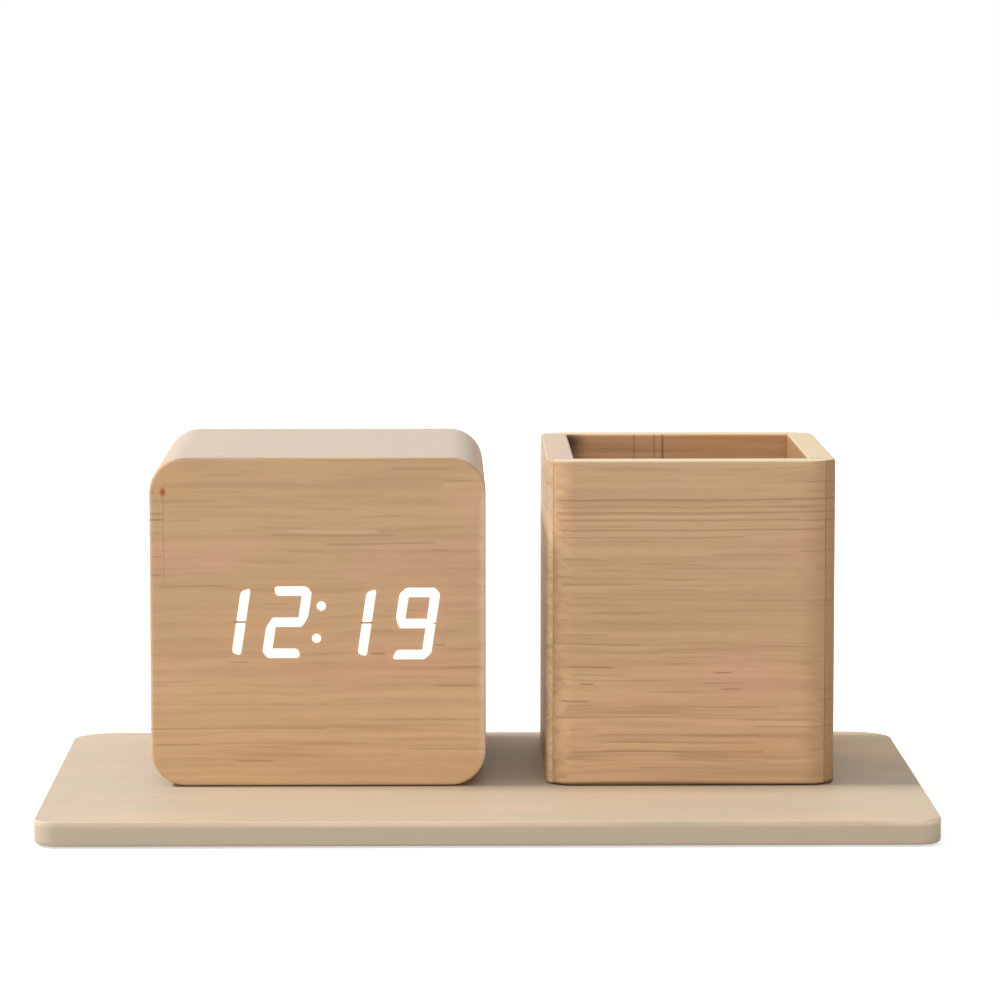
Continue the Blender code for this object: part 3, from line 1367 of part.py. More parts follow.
def build():
    for old in list(bpy.data.objects):
        bpy.data.objects.remove(old)
    make_base()
    make_pads()
    make_base_screws()
    make_pot()
    clock = frame_of("clock", None, (CLOCK_CENTRE_X, FRONT_LINE, SEAT_HEIGHT + CLOCK_HEIGHT / 2))
    make_housing(clock)
    make_front_panel(clock)
    make_diffuser(clock)
    make_reflector(clock)
    make_display_board(clock)
    make_display_screws(clock)
    cover = frame_of("cover", clock, (0, COVER_FACE, 0))
    make_cover(cover)
    make_cover_screws(cover)
    make_door(cover)
    make_cells(cover)
    make_contacts(cover)
    make_springs(cover)
    make_buttons(cover)
    make_switches(cover)
    make_main_board(cover)
    make_board_screws(cover)
    make_buzzer(cover)
    make_microphone(cover)
    make_jack(cover)
    make_chip(cover)
    make_leads(cover)
    make_ribbon(cover)


build()
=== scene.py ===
import json
import math

import bmesh
import bpy
import numpy as np
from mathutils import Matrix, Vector
from mathutils.geometry import tessellate_polygon


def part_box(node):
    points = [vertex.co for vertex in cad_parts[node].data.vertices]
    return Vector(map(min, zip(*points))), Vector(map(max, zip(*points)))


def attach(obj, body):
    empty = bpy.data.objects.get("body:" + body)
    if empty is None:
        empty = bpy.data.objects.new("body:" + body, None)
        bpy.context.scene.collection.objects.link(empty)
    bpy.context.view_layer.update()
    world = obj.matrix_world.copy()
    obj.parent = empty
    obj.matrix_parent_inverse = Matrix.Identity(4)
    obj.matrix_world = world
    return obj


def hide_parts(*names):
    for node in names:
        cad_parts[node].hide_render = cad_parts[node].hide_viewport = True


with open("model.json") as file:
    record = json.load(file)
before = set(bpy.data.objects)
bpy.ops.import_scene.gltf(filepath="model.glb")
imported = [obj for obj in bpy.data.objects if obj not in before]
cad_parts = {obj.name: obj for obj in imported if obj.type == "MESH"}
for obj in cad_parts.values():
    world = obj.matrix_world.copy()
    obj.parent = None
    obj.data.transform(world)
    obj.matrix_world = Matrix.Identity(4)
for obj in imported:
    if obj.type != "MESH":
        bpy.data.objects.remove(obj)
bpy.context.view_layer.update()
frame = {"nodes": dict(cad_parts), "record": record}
nodes = frame["nodes"]
mm = 0.001
creaseAngle = math.radians(35)
print("frame loaded:", len(nodes), "nodes")


# Mesh building

def roundedOutline(width, height, radius, cornerSteps, sideSteps=1):
    # A rounded rectangle walked anticlockwise from its upper right. Each corner is an arc about its centre,
    # with one radius for all or a radius each. The straight sides between the arcs are split evenly.
    angle = np.linspace(0, math.pi / 2, cornerSteps + 1)
    radii = np.broadcast_to(radius, 4)
    corners = []
    for turn, (across, up) in enumerate(((1, 1), (-1, 1), (-1, -1), (1, -1))):
        around = angle + turn * math.pi / 2
        corners.append(np.stack([across * (width / 2 - radii[turn]) + radii[turn] * np.cos(around),
                                 up * (height / 2 - radii[turn]) + radii[turn] * np.sin(around)], axis=1))
    pieces = []
    for turn in range(4):
        share = np.linspace(0, 1, sideSteps + 1)[1:-1, None]
        start, end = corners[turn][-1], corners[(turn + 1) % 4][0]
        pieces += [corners[turn], start + (end - start) * share]
    return np.vstack(pieces)


def circleLike(outline, radius):
    # A circle whose points lie in the same directions from the middle as an outline's points
    return radius * outline / np.linalg.norm(outline, axis=1, keepdims=True)


def circleOutline(radius, steps):
    # The point at angle a is (r cos a, r sin a)
    around = np.linspace(0, 2 * math.pi, steps, endpoint=False)
    return radius * np.stack([np.cos(around), np.sin(around)], axis=1)


def easeArc(ease, steps, support=0.15 * mm):
    # A quarter round from a flat face to a side. At angle a the inset is e(1 - sin a), the drop e(1 - cos a).
    # A point just before and one just after keep the bend out of the flat faces beside it.
    angle = np.linspace(0, math.pi / 2, steps + 1)
    inset = ease * (1 - np.sin(angle))
    drop = ease * (1 - np.cos(angle))
    return np.vstack([[ease + support, 0], np.stack([inset, drop], axis=1), [0, ease + support]])


def easedRings(makeRing, level, ease, steps, way=-1):
    # The rings of a rounded edge, each at the level plus way times its drop
    return [makeRing(inset, level + way * drop) for inset, drop in easeArc(ease, steps)]


def onPlan(outline, level):
    # Outline (x, y) at one height
    return np.column_stack([outline, np.full(len(outline), level)])


def onFace(outline, depth):
    # Outline (x, z) on an upright plane at one place along Y
    return np.column_stack([outline[:, 0], np.full(len(outline), depth), outline[:, 1]])


def ringFaces(count, points, wrapRings=False):
    # Quads between neighbouring rings: point j of ring i joins point j + 1 and ring i + 1.
    # Each ring closes on itself.
    last = count if wrapRings else count - 1
    ring, point = np.meshgrid(np.arange(last), np.arange(points), indexing="ij")
    nextPoint, nextRing = (point + 1) % points, (ring + 1) % count
    corners = ((ring, point), (ring, nextPoint), (nextRing, nextPoint), (nextRing, point))
    quads = [row * points + column for row, column in corners]
    return np.stack(quads, axis=-1).reshape(-1, 4).tolist()


def shell(rings, start=None, end=None, wrapRings=False):
    # A surface through rings of points. An end is open, a fan about its middle point, or one flat face.
    rings = np.asarray(rings, float)
    count, points = rings.shape[:2]
    vertices = rings.reshape(-1, 3)
    faces = ringFaces(count, points, wrapRings)
    for kind, ring in ((start, 0), (end, count - 1)):
        row = np.arange(points) + ring * points
        if ring == 0:
            row = row[::-1]
        if kind == "flat":
            faces.append(row.tolist())
        if kind == "fan":
            middle = np.full(points, len(vertices))
            vertices = np.vstack([vertices, rings[ring].mean(axis=0)])
            faces += np.stack([middle, row, np.roll(row, -1)], axis=1).tolist()
    return vertices, faces


def signedVolume(vertices, faces):
    # Sum of a . (b x c) / 6 over the triangles that fan out from each face's first corner
    triangles = np.array([(face[0], face[step], face[step + 1])
                          for face in faces for step in range(1, len(face) - 1)])
    a, b, c = (vertices[triangles[:, corner]] for corner in range(3))
    return float((a * np.cross(b, c)).sum()) / 6


def addObject(name, data):
    made = bpy.data.objects.new(name, data)
    bpy.context.scene.collection.objects.link(made)
    return made


def piece(name, parts, body, slotName, replaced=(), material=None):
    # Joins closed parts into one object whose faces all point outwards.
    # Its finish is the slot's own unless another is given.
    points, polygons, offset = [], [], 0
    for vertices, faces in parts:
        turned = signedVolume(vertices, faces) < 0
        polygons += [[index + offset for index in (face[::-1] if turned else face)] for face in faces]
        points.append(vertices)
        offset += len(vertices)
    data = bpy.data.meshes.new(name)
    data.from_pydata(np.vstack(points).tolist(), [], polygons)
    data.polygons.foreach_set("use_smooth", np.ones(len(data.polygons), bool))
    data.set_sharp_from_angle(angle=creaseAngle)
    data.materials.append(material or finishes[slotName])
    made = addObject(name, data)
    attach(made, body)
    if replaced:
        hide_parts(*replaced)
    return made


def paint(made, name, formula):
    # Stores a value on every point of a mesh, worked out from the points' places
    data = made.data
    places = np.zeros(len(data.vertices) * 3)
    data.vertices.foreach_get("co", places)
    values = formula(places.reshape(-1, 3)).astype(np.float32)
    layer = data.attributes.new(name, "FLOAT", "POINT")
    layer.data.foreach_set("value", values)


# Shader building

def add(tree, kind, **settings):
    made = tree.nodes.new("ShaderNode" + kind)
    for key, value in settings.items():
        setattr(made, key, value)
    return made


def feed(tree, value, socket):
    if isinstance(value, bpy.types.NodeSocket):
        tree.links.new(value, socket)
    elif hasattr(socket.default_value, "__len__") and len(value) == 3 and len(socket.default_value) == 4:
        socket.default_value = (*value, 1.0)
    else:
        socket.default_value = value


def maths(tree, operation, *values):
    made = add(tree, "Math", operation=operation)
    for value, socket in zip(values, made.inputs):
        feed(tree, value, socket)
    return made.outputs[0]


def vectorMaths(tree, operation, first, second):
    made = add(tree, "VectorMath", operation=operation)
    feed(tree, first, made.inputs[0])
    feed(tree, second, made.inputs[1])
    return made.outputs["Value" if operation == "LENGTH" else "Vector"]


def blend(tree, share, first, second):
    made = add(tree, "Mix", data_type="RGBA")
    feed(tree, share, made.inputs[0])
    feed(tree, first, made.inputs[6])
    feed(tree, second, made.inputs[7])
    return made.outputs[2]


def ramp(tree, value, low, high, toLow=0.0, toHigh=1.0, smooth=True):
    made = add(tree, "MapRange", interpolation_type="SMOOTHSTEP" if smooth else "LINEAR")
    for entry, socket in zip((value, low, high, toLow, toHigh), made.inputs):
        feed(tree, entry, socket)
    return made.outputs[0]


def spread(tree, value):
    # One value along all three axes
    made = add(tree, "CombineXYZ")
    for socket in made.inputs:
        feed(tree, value, socket)
    return made.outputs[0]


def split(tree, value):
    made = add(tree, "SeparateXYZ")
    tree.links.new(value, made.inputs[0])
    return made.outputs


def noise(tree, place, scale, detail=2.0, roughness=0.5):
    # Noise on coordinates stretched by a scale along each axis, in features per metre
    stretched = vectorMaths(tree, "MULTIPLY", place, scale)
    made = add(tree, "TexNoise")
    tree.links.new(stretched, made.inputs["Vector"])
    made.inputs["Scale"].default_value = 1.0
    made.inputs["Detail"].default_value = detail
    made.inputs["Roughness"].default_value = roughness
    return made.outputs["Fac"]


def newGroup(name, inputs, outputs):
    tree = bpy.data.node_groups.new(name, "ShaderNodeTree")
    for label, kind, value in inputs:
        socket = tree.interface.new_socket(label, in_out="INPUT", socket_type="NodeSocket" + kind)
        if value is not None:
            socket.default_value = value
    for label, kind in outputs:
        tree.interface.new_socket(label, in_out="OUTPUT", socket_type="NodeSocket" + kind)
    return tree, tree.nodes.new("NodeGroupInput").outputs, tree.nodes.new("NodeGroupOutput").inputs


def useGroup(tree, group, **values):
    made = add(tree, "Group", node_tree=group)
    for label, value in values.items():
        feed(tree, value, made.inputs[label])
    return made.outputs


def makeGrainDrift():
    # Bends places across the grain: a slow noise n along X moves Y and Z together by a(n - 0.5)
    tree, given, out = newGroup(
        "grainDrift",
        [("Vector", "Vector", None), ("Seed", "Float", 0.0), ("Amount", "Float", 0.002)],
        [("Vector", "Vector")])
    place = vectorMaths(tree, "ADD", given["Vector"], spread(tree, given["Seed"]))
    bend = noise(tree, place, (24, 30, 30), 1.0)
    drift = maths(tree, "MULTIPLY", maths(tree, "SUBTRACT", bend, 0.5), given["Amount"])
    bent = add(tree, "CombineXYZ")
    feed(tree, drift, bent.inputs[1])
    feed(tree, drift, bent.inputs[2])
    tree.links.new(vectorMaths(tree, "ADD", given["Vector"], bent.outputs[0]), out["Vector"])
    return tree


# Scales of the grain in features per metre, and where each of its masks starts and ends on the noise
grainScale = {
    "broad": (20, 75, 75), "second": (24, 95, 95), "streak": (12, 580, 580), "fine": (160, 3600, 3600),
    "fibre": (20, 1000, 1000),
}
grainReach = {"broad": (0.42, 0.66), "second": (0.46, 0.68), "streak": (0.32, 0.68), "fibre": (0.56, 0.72)}


def makeBambooGrain():
    # Long soft patches of three tones, streaks along X, and thin dark fibres
    tree, given, out = newGroup(
        "bambooGrain",
        [("Vector", "Vector", None), ("Seed", "Float", 0.0), ("Light", "Color", (0.5, 0.4, 0.3, 1)),
         ("Warm", "Color", (0.5, 0.3, 0.2, 1)), ("Straw", "Color", (0.5, 0.4, 0.2, 1)),
         ("Dark", "Color", (0.2, 0.1, 0.05, 1)), ("Streak", "Float", 0.2), ("Fibre", "Float", 0.3)],
        [("Color", "Color"), ("Height", "Float"), ("Sheen", "Float")])
    place = vectorMaths(tree, "ADD", given["Vector"], spread(tree, given["Seed"]))
    elsewhere = vectorMaths(tree, "ADD", place, (7, 7, 7))
    broad = ramp(tree, noise(tree, place, grainScale["broad"]), *grainReach["broad"])
    second = ramp(tree, noise(tree, elsewhere, grainScale["second"]), *grainReach["second"])
    streak = noise(tree, place, grainScale["streak"], 3.0, 0.6)
    fine = noise(tree, place, grainScale["fine"])
    fibre = ramp(tree, noise(tree, place, grainScale["fibre"]), *grainReach["fibre"])
    tone = blend(tree, broad, given["Light"], given["Warm"])
    tone = blend(tree, second, tone, given["Straw"])
    strength = maths(tree, "MULTIPLY", given["Streak"], ramp(tree, streak, *grainReach["streak"], 1.0, 0.0))
    tone = blend(tree, strength, tone, given["Dark"])
    weak = maths(tree, "MULTIPLY", given["Fibre"], fibre)
    tone = blend(tree, weak, tone, given["Dark"])
    tree.links.new(tone, out["Color"])
    height = maths(tree, "ADD", maths(tree, "MULTIPLY", streak, 0.6), maths(tree, "MULTIPLY", fine, 0.4))
    tree.links.new(maths(tree, "SUBTRACT", height, maths(tree, "MULTIPLY", weak, 0.5)), out["Height"])
    tree.links.new(fine, out["Sheen"])
    return tree


def makeGrainLine():
    # One thin line along X at a height, between a start and an end
    tree, given, out = newGroup(
        "grainAndShadowLine",
        [("Vector", "Vector", None), ("Height", "Float", 0.0), ("Start", "Float", 0.0), ("End", "Float", 1.0),
         ("Width", "Float", 0.0003), ("Fade", "Float", 0.002)],
        [("Mask", "Float")])
    parts = split(tree, given["Vector"])
    away = maths(tree, "ABSOLUTE", maths(tree, "SUBTRACT", parts[2], given["Height"]))
    near = ramp(tree, away, maths(tree, "MULTIPLY", given["Width"], 0.2), given["Width"], 1.0, 0.0)
    begin = ramp(tree, parts[0], given["Start"], maths(tree, "ADD", given["Start"], given["Fade"]))
    fadeStart = maths(tree, "SUBTRACT", given["End"], given["Fade"])
    finish = ramp(tree, parts[0], fadeStart, given["End"], 1.0, 0.0)
    span = maths(tree, "MULTIPLY", begin, finish)
    tree.links.new(maths(tree, "MULTIPLY", near, span), out["Mask"])
    return tree


def makeTonePatch():
    # A soft-edged oval region: one minus the scaled distance from its middle
    tree, given, out = newGroup(
        "tonePatch",
        [("Vector", "Vector", None), ("Middle", "Vector", (0, 0, 0)), ("Reach", "Vector", (1, 1, 1))],
        [("Mask", "Float")])
    away = vectorMaths(tree, "SUBTRACT", given["Vector"], given["Middle"])
    ragged = noise(tree, given["Vector"], (60, 60, 320))
    scaled = vectorMaths(tree, "LENGTH", vectorMaths(tree, "DIVIDE", away, given["Reach"]), (0, 0, 0))
    rough = maths(tree, "ADD", scaled, maths(tree, "MULTIPLY", maths(tree, "SUBTRACT", ragged, 0.5), 1.3))
    tree.links.new(ramp(tree, rough, 0.0, 1.15, 1.0, 0.0), out["Mask"])
    return tree


def makeMouldedGrain():
    # The even pebbled grain that a spark-eroded mould leaves, and the faint patches of handling on it
    tree, given, out = newGroup(
        "mouldedGrain",
        [("Vector", "Vector", None), ("Grain", "Float", 4000.0)],
        [("Height", "Float"), ("Patches", "Float")])
    pebble = noise(tree, given["Vector"], spread(tree, given["Grain"]), 2.0, 0.6)
    tree.links.new(ramp(tree, pebble, 0.3, 0.7), out["Height"])
    tree.links.new(noise(tree, given["Vector"], (90, 90, 90), 3.0), out["Patches"])
    return tree


def makeMetalGrain():
    # Fine drawing marks and a soft tarnish
    tree, given, out = newGroup(
        "metalGrain",
        [("Vector", "Vector", None)],
        [("Height", "Float"), ("Tarnish", "Float")])
    tree.links.new(noise(tree, given["Vector"], (9000, 9000, 900)), out["Height"])
    tree.links.new(ramp(tree, noise(tree, given["Vector"], (500, 500, 500), 3.0), 0.35, 0.7), out["Tarnish"])
    return tree


grainDrift = makeGrainDrift()
bambooGrain = makeBambooGrain()
grainAndShadowLine = makeGrainLine()
tonePatch = makeTonePatch()
mouldedGrain = makeMouldedGrain()
metalGrain = makeMetalGrain()
print("shared groups built")


def newFinish(name, **constants):
    material = bpy.data.materials.new(name)
    material.use_nodes = True
    tree = material.node_tree
    shader = tree.nodes["Principled BSDF"]
    for label, value in constants.items():
        feed(tree, value, shader.inputs[label.replace("_", " ")])
    place = add(tree, "TexCoord").outputs["Object"]
    return material, tree, shader, place


def bump(tree, shader, height, distance, strength):
    made = add(tree, "Bump")
    made.inputs["Strength"].default_value = strength
    made.inputs["Distance"].default_value = distance
    tree.links.new(height, made.inputs["Height"])
    tree.links.new(made.outputs[0], shader.inputs["Normal"])


def shine(tree, shader, tone):
    tree.links.new(tone, shader.inputs["Emission Color"])
    shader.inputs["Emission Strength"].default_value = 1.0


lineLook = {
    "drift": 0.0016, "widthScale": 0.78, "strengthScale": 1.25, "crispFrom": 0.85, "crispFade": 0.2,
    "longestFade": 3.0, "fadeShare": 0.3, "fadeReach": 50,
}


def drawLines(tree, colour, rows, vector, look):
    # Single lines one over another, faded at both ends: the grain's, and along the pot's foot a painted
    # shadow. The strongest end sharply.
    for height, start, end, width, strength in rows:
        length = end - start
        fade = min(lineLook["longestFade"], length * lineLook["fadeShare"], lineLook["fadeReach"] / length)
        if strength > lineLook["crispFrom"]:
            fade = lineLook["crispFade"]
        mask = useGroup(
            tree, grainAndShadowLine, Vector=vector, Height=height * mm, Start=start * mm, End=end * mm,
            Width=width * lineLook["widthScale"] * mm, Fade=fade * mm)["Mask"]
        share = maths(tree, "MULTIPLY", mask, min(1.0, abs(strength) * lineLook["strengthScale"]))
        colour = blend(tree, share, colour, look["line"] if strength > 0 else look["paleLine"])
    return colour


bambooSurface = {
    "sideFrom": 0.7, "flatReach": (0.70, 0.95), "endReach": (0.75, 0.97), "topReach": (0.55, 0.95),
    "sheenReach": (0.3, 0.7), "smoother": -0.05, "rougher": 0.07,
    "bumpDepth": 0.03 * mm, "bumpStrength": 0.35,
}


def bambooFinish(name, look, lines=(), patches=(), uprights=(), alongY=False, wrapped=False):
    # Grain first, then soft patches, then single lines along X and upright ones, then the tones of ends and
    # tops. The foot, flat and top tones are painted light, shade and sheen by height and by facing. The grain
    # of a wrapped piece turns along Y where the surface faces X.
    material, tree, shader, place = newFinish(
        name, Roughness=look["roughness"], Specular_IOR_Level=look["gloss"])
    facing = split(tree, add(tree, "TexCoord").outputs["Normal"])
    acrossX = maths(tree, "ABSOLUTE", facing[0])
    turned = place
    if alongY or wrapped:
        mapping = add(tree, "Mapping")
        mapping.inputs["Rotation"].default_value = (0, 0, math.pi / 2)
        tree.links.new(place, mapping.inputs["Vector"])
        turned = mapping.outputs[0]
    if wrapped:
        turned = blend(tree, maths(tree, "GREATER_THAN", acrossX, bambooSurface["sideFrom"]), place, turned)
    parts = split(tree, place)
    # Painted light and shade by height: the foot tone below the foot height turns into the light tones above
    # the top height
    rise = ramp(tree, parts[2], look["footHeight"], look["topHeight"])
    tones = {key: blend(tree, rise, look["foot"], look[key]) for key in ("light", "warm", "straw")}
    # Painted light and shade by facing: faces that point up take the flat tone
    if "flatTone" in look:
        flat = ramp(tree, facing[2], *bambooSurface["flatReach"])
        tones["light"] = blend(tree, flat, tones["light"], look["flatTone"])
    bent = useGroup(tree, grainDrift, Vector=turned, Seed=look["seed"], Amount=look["drift"])["Vector"]
    grain = useGroup(
        tree, bambooGrain, Vector=bent, Seed=look["seed"], Light=tones["light"], Warm=tones["warm"],
        Straw=tones["straw"], Dark=look["dark"], Streak=look["streak"], Fibre=look["fibre"])
    colour = grain["Color"]
    for middle, reach, tone, strength in patches:
        mask = useGroup(tree, tonePatch, Vector=place, Middle=middle, Reach=reach)["Mask"]
        colour = blend(tree, maths(tree, "MULTIPLY", mask, strength), colour, tone)
    lineDrift = lineLook["drift"]
    bentLines = useGroup(tree, grainDrift, Vector=place, Seed=look["seed"], Amount=lineDrift)["Vector"]
    colour = drawLines(tree, colour, lines, bentLines, look)
    swapped = add(tree, "CombineXYZ")
    for source, target in ((2, 0), (1, 1), (0, 2)):
        tree.links.new(parts[source], swapped.inputs[target])
    colour = drawLines(tree, colour, uprights, swapped.outputs[0], look)
    endOn = maths(tree, "ABSOLUTE", facing[1]) if alongY else acrossX
    endShare = maths(tree, "MULTIPLY", ramp(tree, endOn, *bambooSurface["endReach"]), look["endShare"])
    colour = blend(tree, endShare, colour, look["endTone"])
    # Painted sheen: faces that point up take the top tone
    topShare = ramp(tree, facing[2], *bambooSurface["topReach"], 0.0, look["topShare"])
    colour = blend(tree, topShare, colour, look["topTone"])
    tree.links.new(colour, shader.inputs["Base Color"])
    low, high = (look["roughness"] + bambooSurface[key] for key in ("smoother", "rougher"))
    sheen = ramp(tree, grain["Sheen"], *bambooSurface["sheenReach"], low, high)
    tree.links.new(sheen, shader.inputs["Roughness"])
    bump(tree, shader, grain["Height"], bambooSurface["bumpDepth"], bambooSurface["bumpStrength"])
    return material


def plasticFinish(name, colour, worn, scale, depth, roughness):
    material, tree, shader, place = newFinish(name)
    grain = useGroup(tree, mouldedGrain, Vector=place, Grain=scale)
    tone = blend(tree, ramp(tree, grain["Patches"], 0.35, 0.7), colour, worn)
    tree.links.new(tone, shader.inputs["Base Color"])
    tree.links.new(ramp(tree, grain["Patches"], 0.3, 0.7, *roughness), shader.inputs["Roughness"])
    bump(tree, shader, grain["Height"], depth * mm, 0.6)
    return material


def metalFinish(name, colour, tarnish, roughness):
    material, tree, shader, place = newFinish(name, Metallic=1.0)
    grain = useGroup(tree, metalGrain, Vector=place)
    tree.links.new(blend(tree, grain["Tarnish"], colour, tarnish), shader.inputs["Base Color"])
    tree.links.new(ramp(tree, grain["Tarnish"], 0.0, 1.0, *roughness), shader.inputs["Roughness"])
    bump(tree, shader, grain["Height"], 0.004 * mm, 0.5)
    return material


# The foot tone makes the lower faces lighter and more orange up to the top height: the orange is the wood's
# own, and the lightening is painted light against the shade near the board. The top tone pales and greys the
# faces that point up, a painted sheen of the white room.
bambooLook = {
    "light": (0.525, 0.342, 0.192), "foot": (0.700, 0.450, 0.242), "warm": (0.560, 0.333, 0.205),
    "straw": (0.518, 0.350, 0.180), "dark": (0.390, 0.225, 0.115), "line": (0.240, 0.128, 0.068),
    "paleLine": (0.650, 0.445, 0.270), "endTone": (0.420, 0.240, 0.110), "endShare": 0.45,
    "topTone": (0.498, 0.415, 0.338), "topShare": 0.82, "streak": 0.36, "fibre": 0.40,
    "seed": 0.0, "drift": 0.003, "roughness": 0.45, "gloss": 0.25, "footHeight": 0.002, "topHeight": 0.048,
}
# Single lines: height, start, end, width and strength, with lengths in mm. A strength below zero is pale.
clockLines = [
    (70.1, -61, -3, 0.36, 0.23), (64.9, -64, -8, 1.20, 0.12), (61.7, -65.4, -51.6, 0.36, 0.23),
    (59.33, -66.5, -63, 0.31, 0.47), (58.15, -66.5, -62.8, 0.31, 0.64), (57.95, -63.4, -54.5, 0.31, 0.22),
    (56.5, -46.6, -32.8, 0.54, 0.14), (55.9, -40, -20, 0.54, -0.35), (55.58, -66.5, -63.2, 0.29, 0.35),
    (55.1, -43, -17, 0.38, 0.27), (53.4, -32.2, -9.1, 0.38, 0.33), (52, -39.7, -30.8, 0.36, 0.17),
    (51.9, -12, -7, 0.36, 0.20), (51, -66.5, -63, 0.26, 0.35), (49.9, -50, -36, 0.72, 0.11),
    (47.6, -59.5, -52.6, 0.31, 0.23), (47.4, -66.5, -63.2, 0.26, 0.35), (45.1, -65.4, -48.6, 0.29, 0.28),
    (65.8, -9.9, -1.4, 0.31, 0.35), (68.3, -20, -5, 0.60, 0.16), (41.7, -44, -38, 0.31, 0.20),
    (39.7, -38, -29, 0.31, 0.17), (40, -22, -9, 0.31, 0.17), (33.2, -10.7, -7.3, 0.29, 0.42),
    (32.2, -9, 0.5, 0.34, 0.25), (31.5, -23.3, -19.2, 0.31, 0.51), (29.9, -51.6, -45.6, 0.31, 0.27),
    (28.7, -9.5, 0.5, 0.31, 0.33), (25.1, -11.5, -1.2, 0.34, 0.37), (21.5, -58, -30, 0.54, 0.12),
    (16.7, -66.5, -30.8, 0.34, 0.30), (13.5, -66.5, -54.5, 0.34, 0.33), (12.6, -16, 0.5, 0.31, 0.23),
    (37.97, -49.8, -47.2, 0.28, 0.90), (37.7, -24.7, -22.1, 0.28, 0.90), (37.9, -11.0, -9.6, 0.28, 0.90),
    (10.1, -50.6, -40.7, 0.34, 0.33), (18.4, -26, -4, 0.48, 0.14),
]
potLines = [
    (68, 17, 63, 0.31, 0.12), (65.6, 16, 40, 0.72, 0.11), (65.2, 61, 68.6, 0.31, 0.27),
    (63.3, 62, 68.6, 0.31, 0.19), (61.86, 13.6, 68.8, 0.41, 0.37), (60.49, 13.6, 67.8, 0.34, 0.25),
    (59.34, 13.6, 68.6, 0.36, 0.31), (58.6, 14, 52, 0.36, -0.30), (57.92, 13.6, 62, 0.36, 0.33),
    (57.7, 60, 70.4, 0.36, 0.35), (56, 13.6, 68, 0.36, 0.33), (54.59, 13.6, 51.4, 0.34, 0.28),
    (51.76, 60.4, 70.6, 0.34, 0.31), (51.14, 43.4, 61.4, 0.34, 0.23), (50.33, 13.6, 22.4, 0.31, 0.27),
    (48.51, 35.4, 57.4, 0.34, 0.20), (48.1, 18, 28.4, 0.31, 0.23), (46.79, 13, 18.4, 0.31, 0.27),
    (46.33, 32.4, 44.4, 0.34, 0.19), (45.34, 13.6, 31.4, 0.34, 0.27), (44.16, 23.4, 43.4, 0.34, 0.20),
    (42.67, 16.4, 25.4, 0.31, 0.27), (42.25, 47.4, 68.4, 0.34, 0.23), (40, 41.4, 52.4, 0.31, 0.20),
    (39.6, 18.4, 33.4, 0.34, 0.25), (35.24, 13.6, 25.4, 0.34, 0.27), (33.36, 12.4, 31.4, 0.36, 0.28),
    (32.97, 51.4, 66.4, 0.34, 0.23), (32.27, 33, 50.4, 0.34, 0.20), (30.69, 33.4, 47.4, 0.34, 0.19),
    (29.4, 33.4, 42.4, 0.34, 0.19), (28.71, 14.2, 26.4, 0.34, 0.51), (27.62, 44.4, 48.8, 0.31, 0.51),
    (27.13, 15.4, 29.4, 0.34, 0.23), (25.54, 41.4, 52.4, 0.31, 0.22), (25.24, 18, 21.8, 0.31, 0.55),
    (24.35, 45.4, 51.4, 0.31, 0.47), (24.3, 64.4, 68.8, 0.31, 0.31), (22.17, 64.6, 69.8, 0.31, 0.31),
    (21.84, 13.6, 21.4, 0.34, 0.51), (20.79, 29.8, 58.4, 0.34, 0.23), (18.61, 12.4, 37.4, 0.36, 0.27),
    (18.21, 49, 63.4, 0.34, 0.23), (16.83, 51.4, 69.4, 0.34, 0.27), (15.05, 21.4, 55.4, 0.34, 0.23),
    (13.56, 21.4, 53.4, 0.34, 0.25), (11.74, 16, 55.4, 0.34, 0.27), (8.51, 29, 50.4, 0.34, 0.22),
    (31.6, 52, 64, 0.48, -0.30), (26.3, 18, 30, 0.42, -0.25), (19.6, 36, 58, 0.48, -0.25),
    # Painted shadow along the pot's foot, where it meets the board
    (5.4, 5, 76, 0.70, 0.80),
]
rose = (0.610, 0.335, 0.225)
amber = (0.600, 0.330, 0.120)
# Soft patches: middle, reach, tone and strength
clockPatches = [
    ((-0.0530, -0.015, 0.0515), (0.013, 0.02, 0.0065), rose, 0.55),
    ((-0.020, -0.015, 0.030), (0.02, 0.02, 0.008), rose, 0.25),
    ((-0.0035, -0.015, 0.0625), (0.008, 0.02, 0.0060), rose, 0.55),
    ((-0.019, -0.015, 0.0520), (0.008, 0.02, 0.003), rose, 0.45),
    ((-0.0622, -0.015, 0.0662), (0.006, 0.02, 0.0045), amber, 0.40),
    ((-0.0633, -0.015, 0.0637), (0.0007, 0.01, 0.0012), (0.36, 0.08, 0.015), 1.0),
    ((-0.0654, -0.015, 0.0637), (0.0005, 0.01, 0.0010), (0.42, 0.14, 0.06), 0.6),
    # Pale strips down the right and left edges: painted highlights on the eased edges
    ((0.0, -0.015, 0.0360), (0.0016, 0.02, 0.060), (0.70, 0.56, 0.46), 0.70),
    ((-0.066, -0.015, 0.0360), (0.0016, 0.02, 0.060), (0.66, 0.48, 0.39), 0.12),
    ((-0.0480, -0.015, 0.0365), (0.013, 0.02, 0.006), (0.600, 0.330, 0.190), 0.40),
    ((-0.036, -0.015, 0.0685), (0.018, 0.02, 0.004), (0.518, 0.350, 0.180), 0.75),
    ((-0.0120, -0.015, 0.0385), (0.004, 0.02, 0.004), rose, 0.60),
]
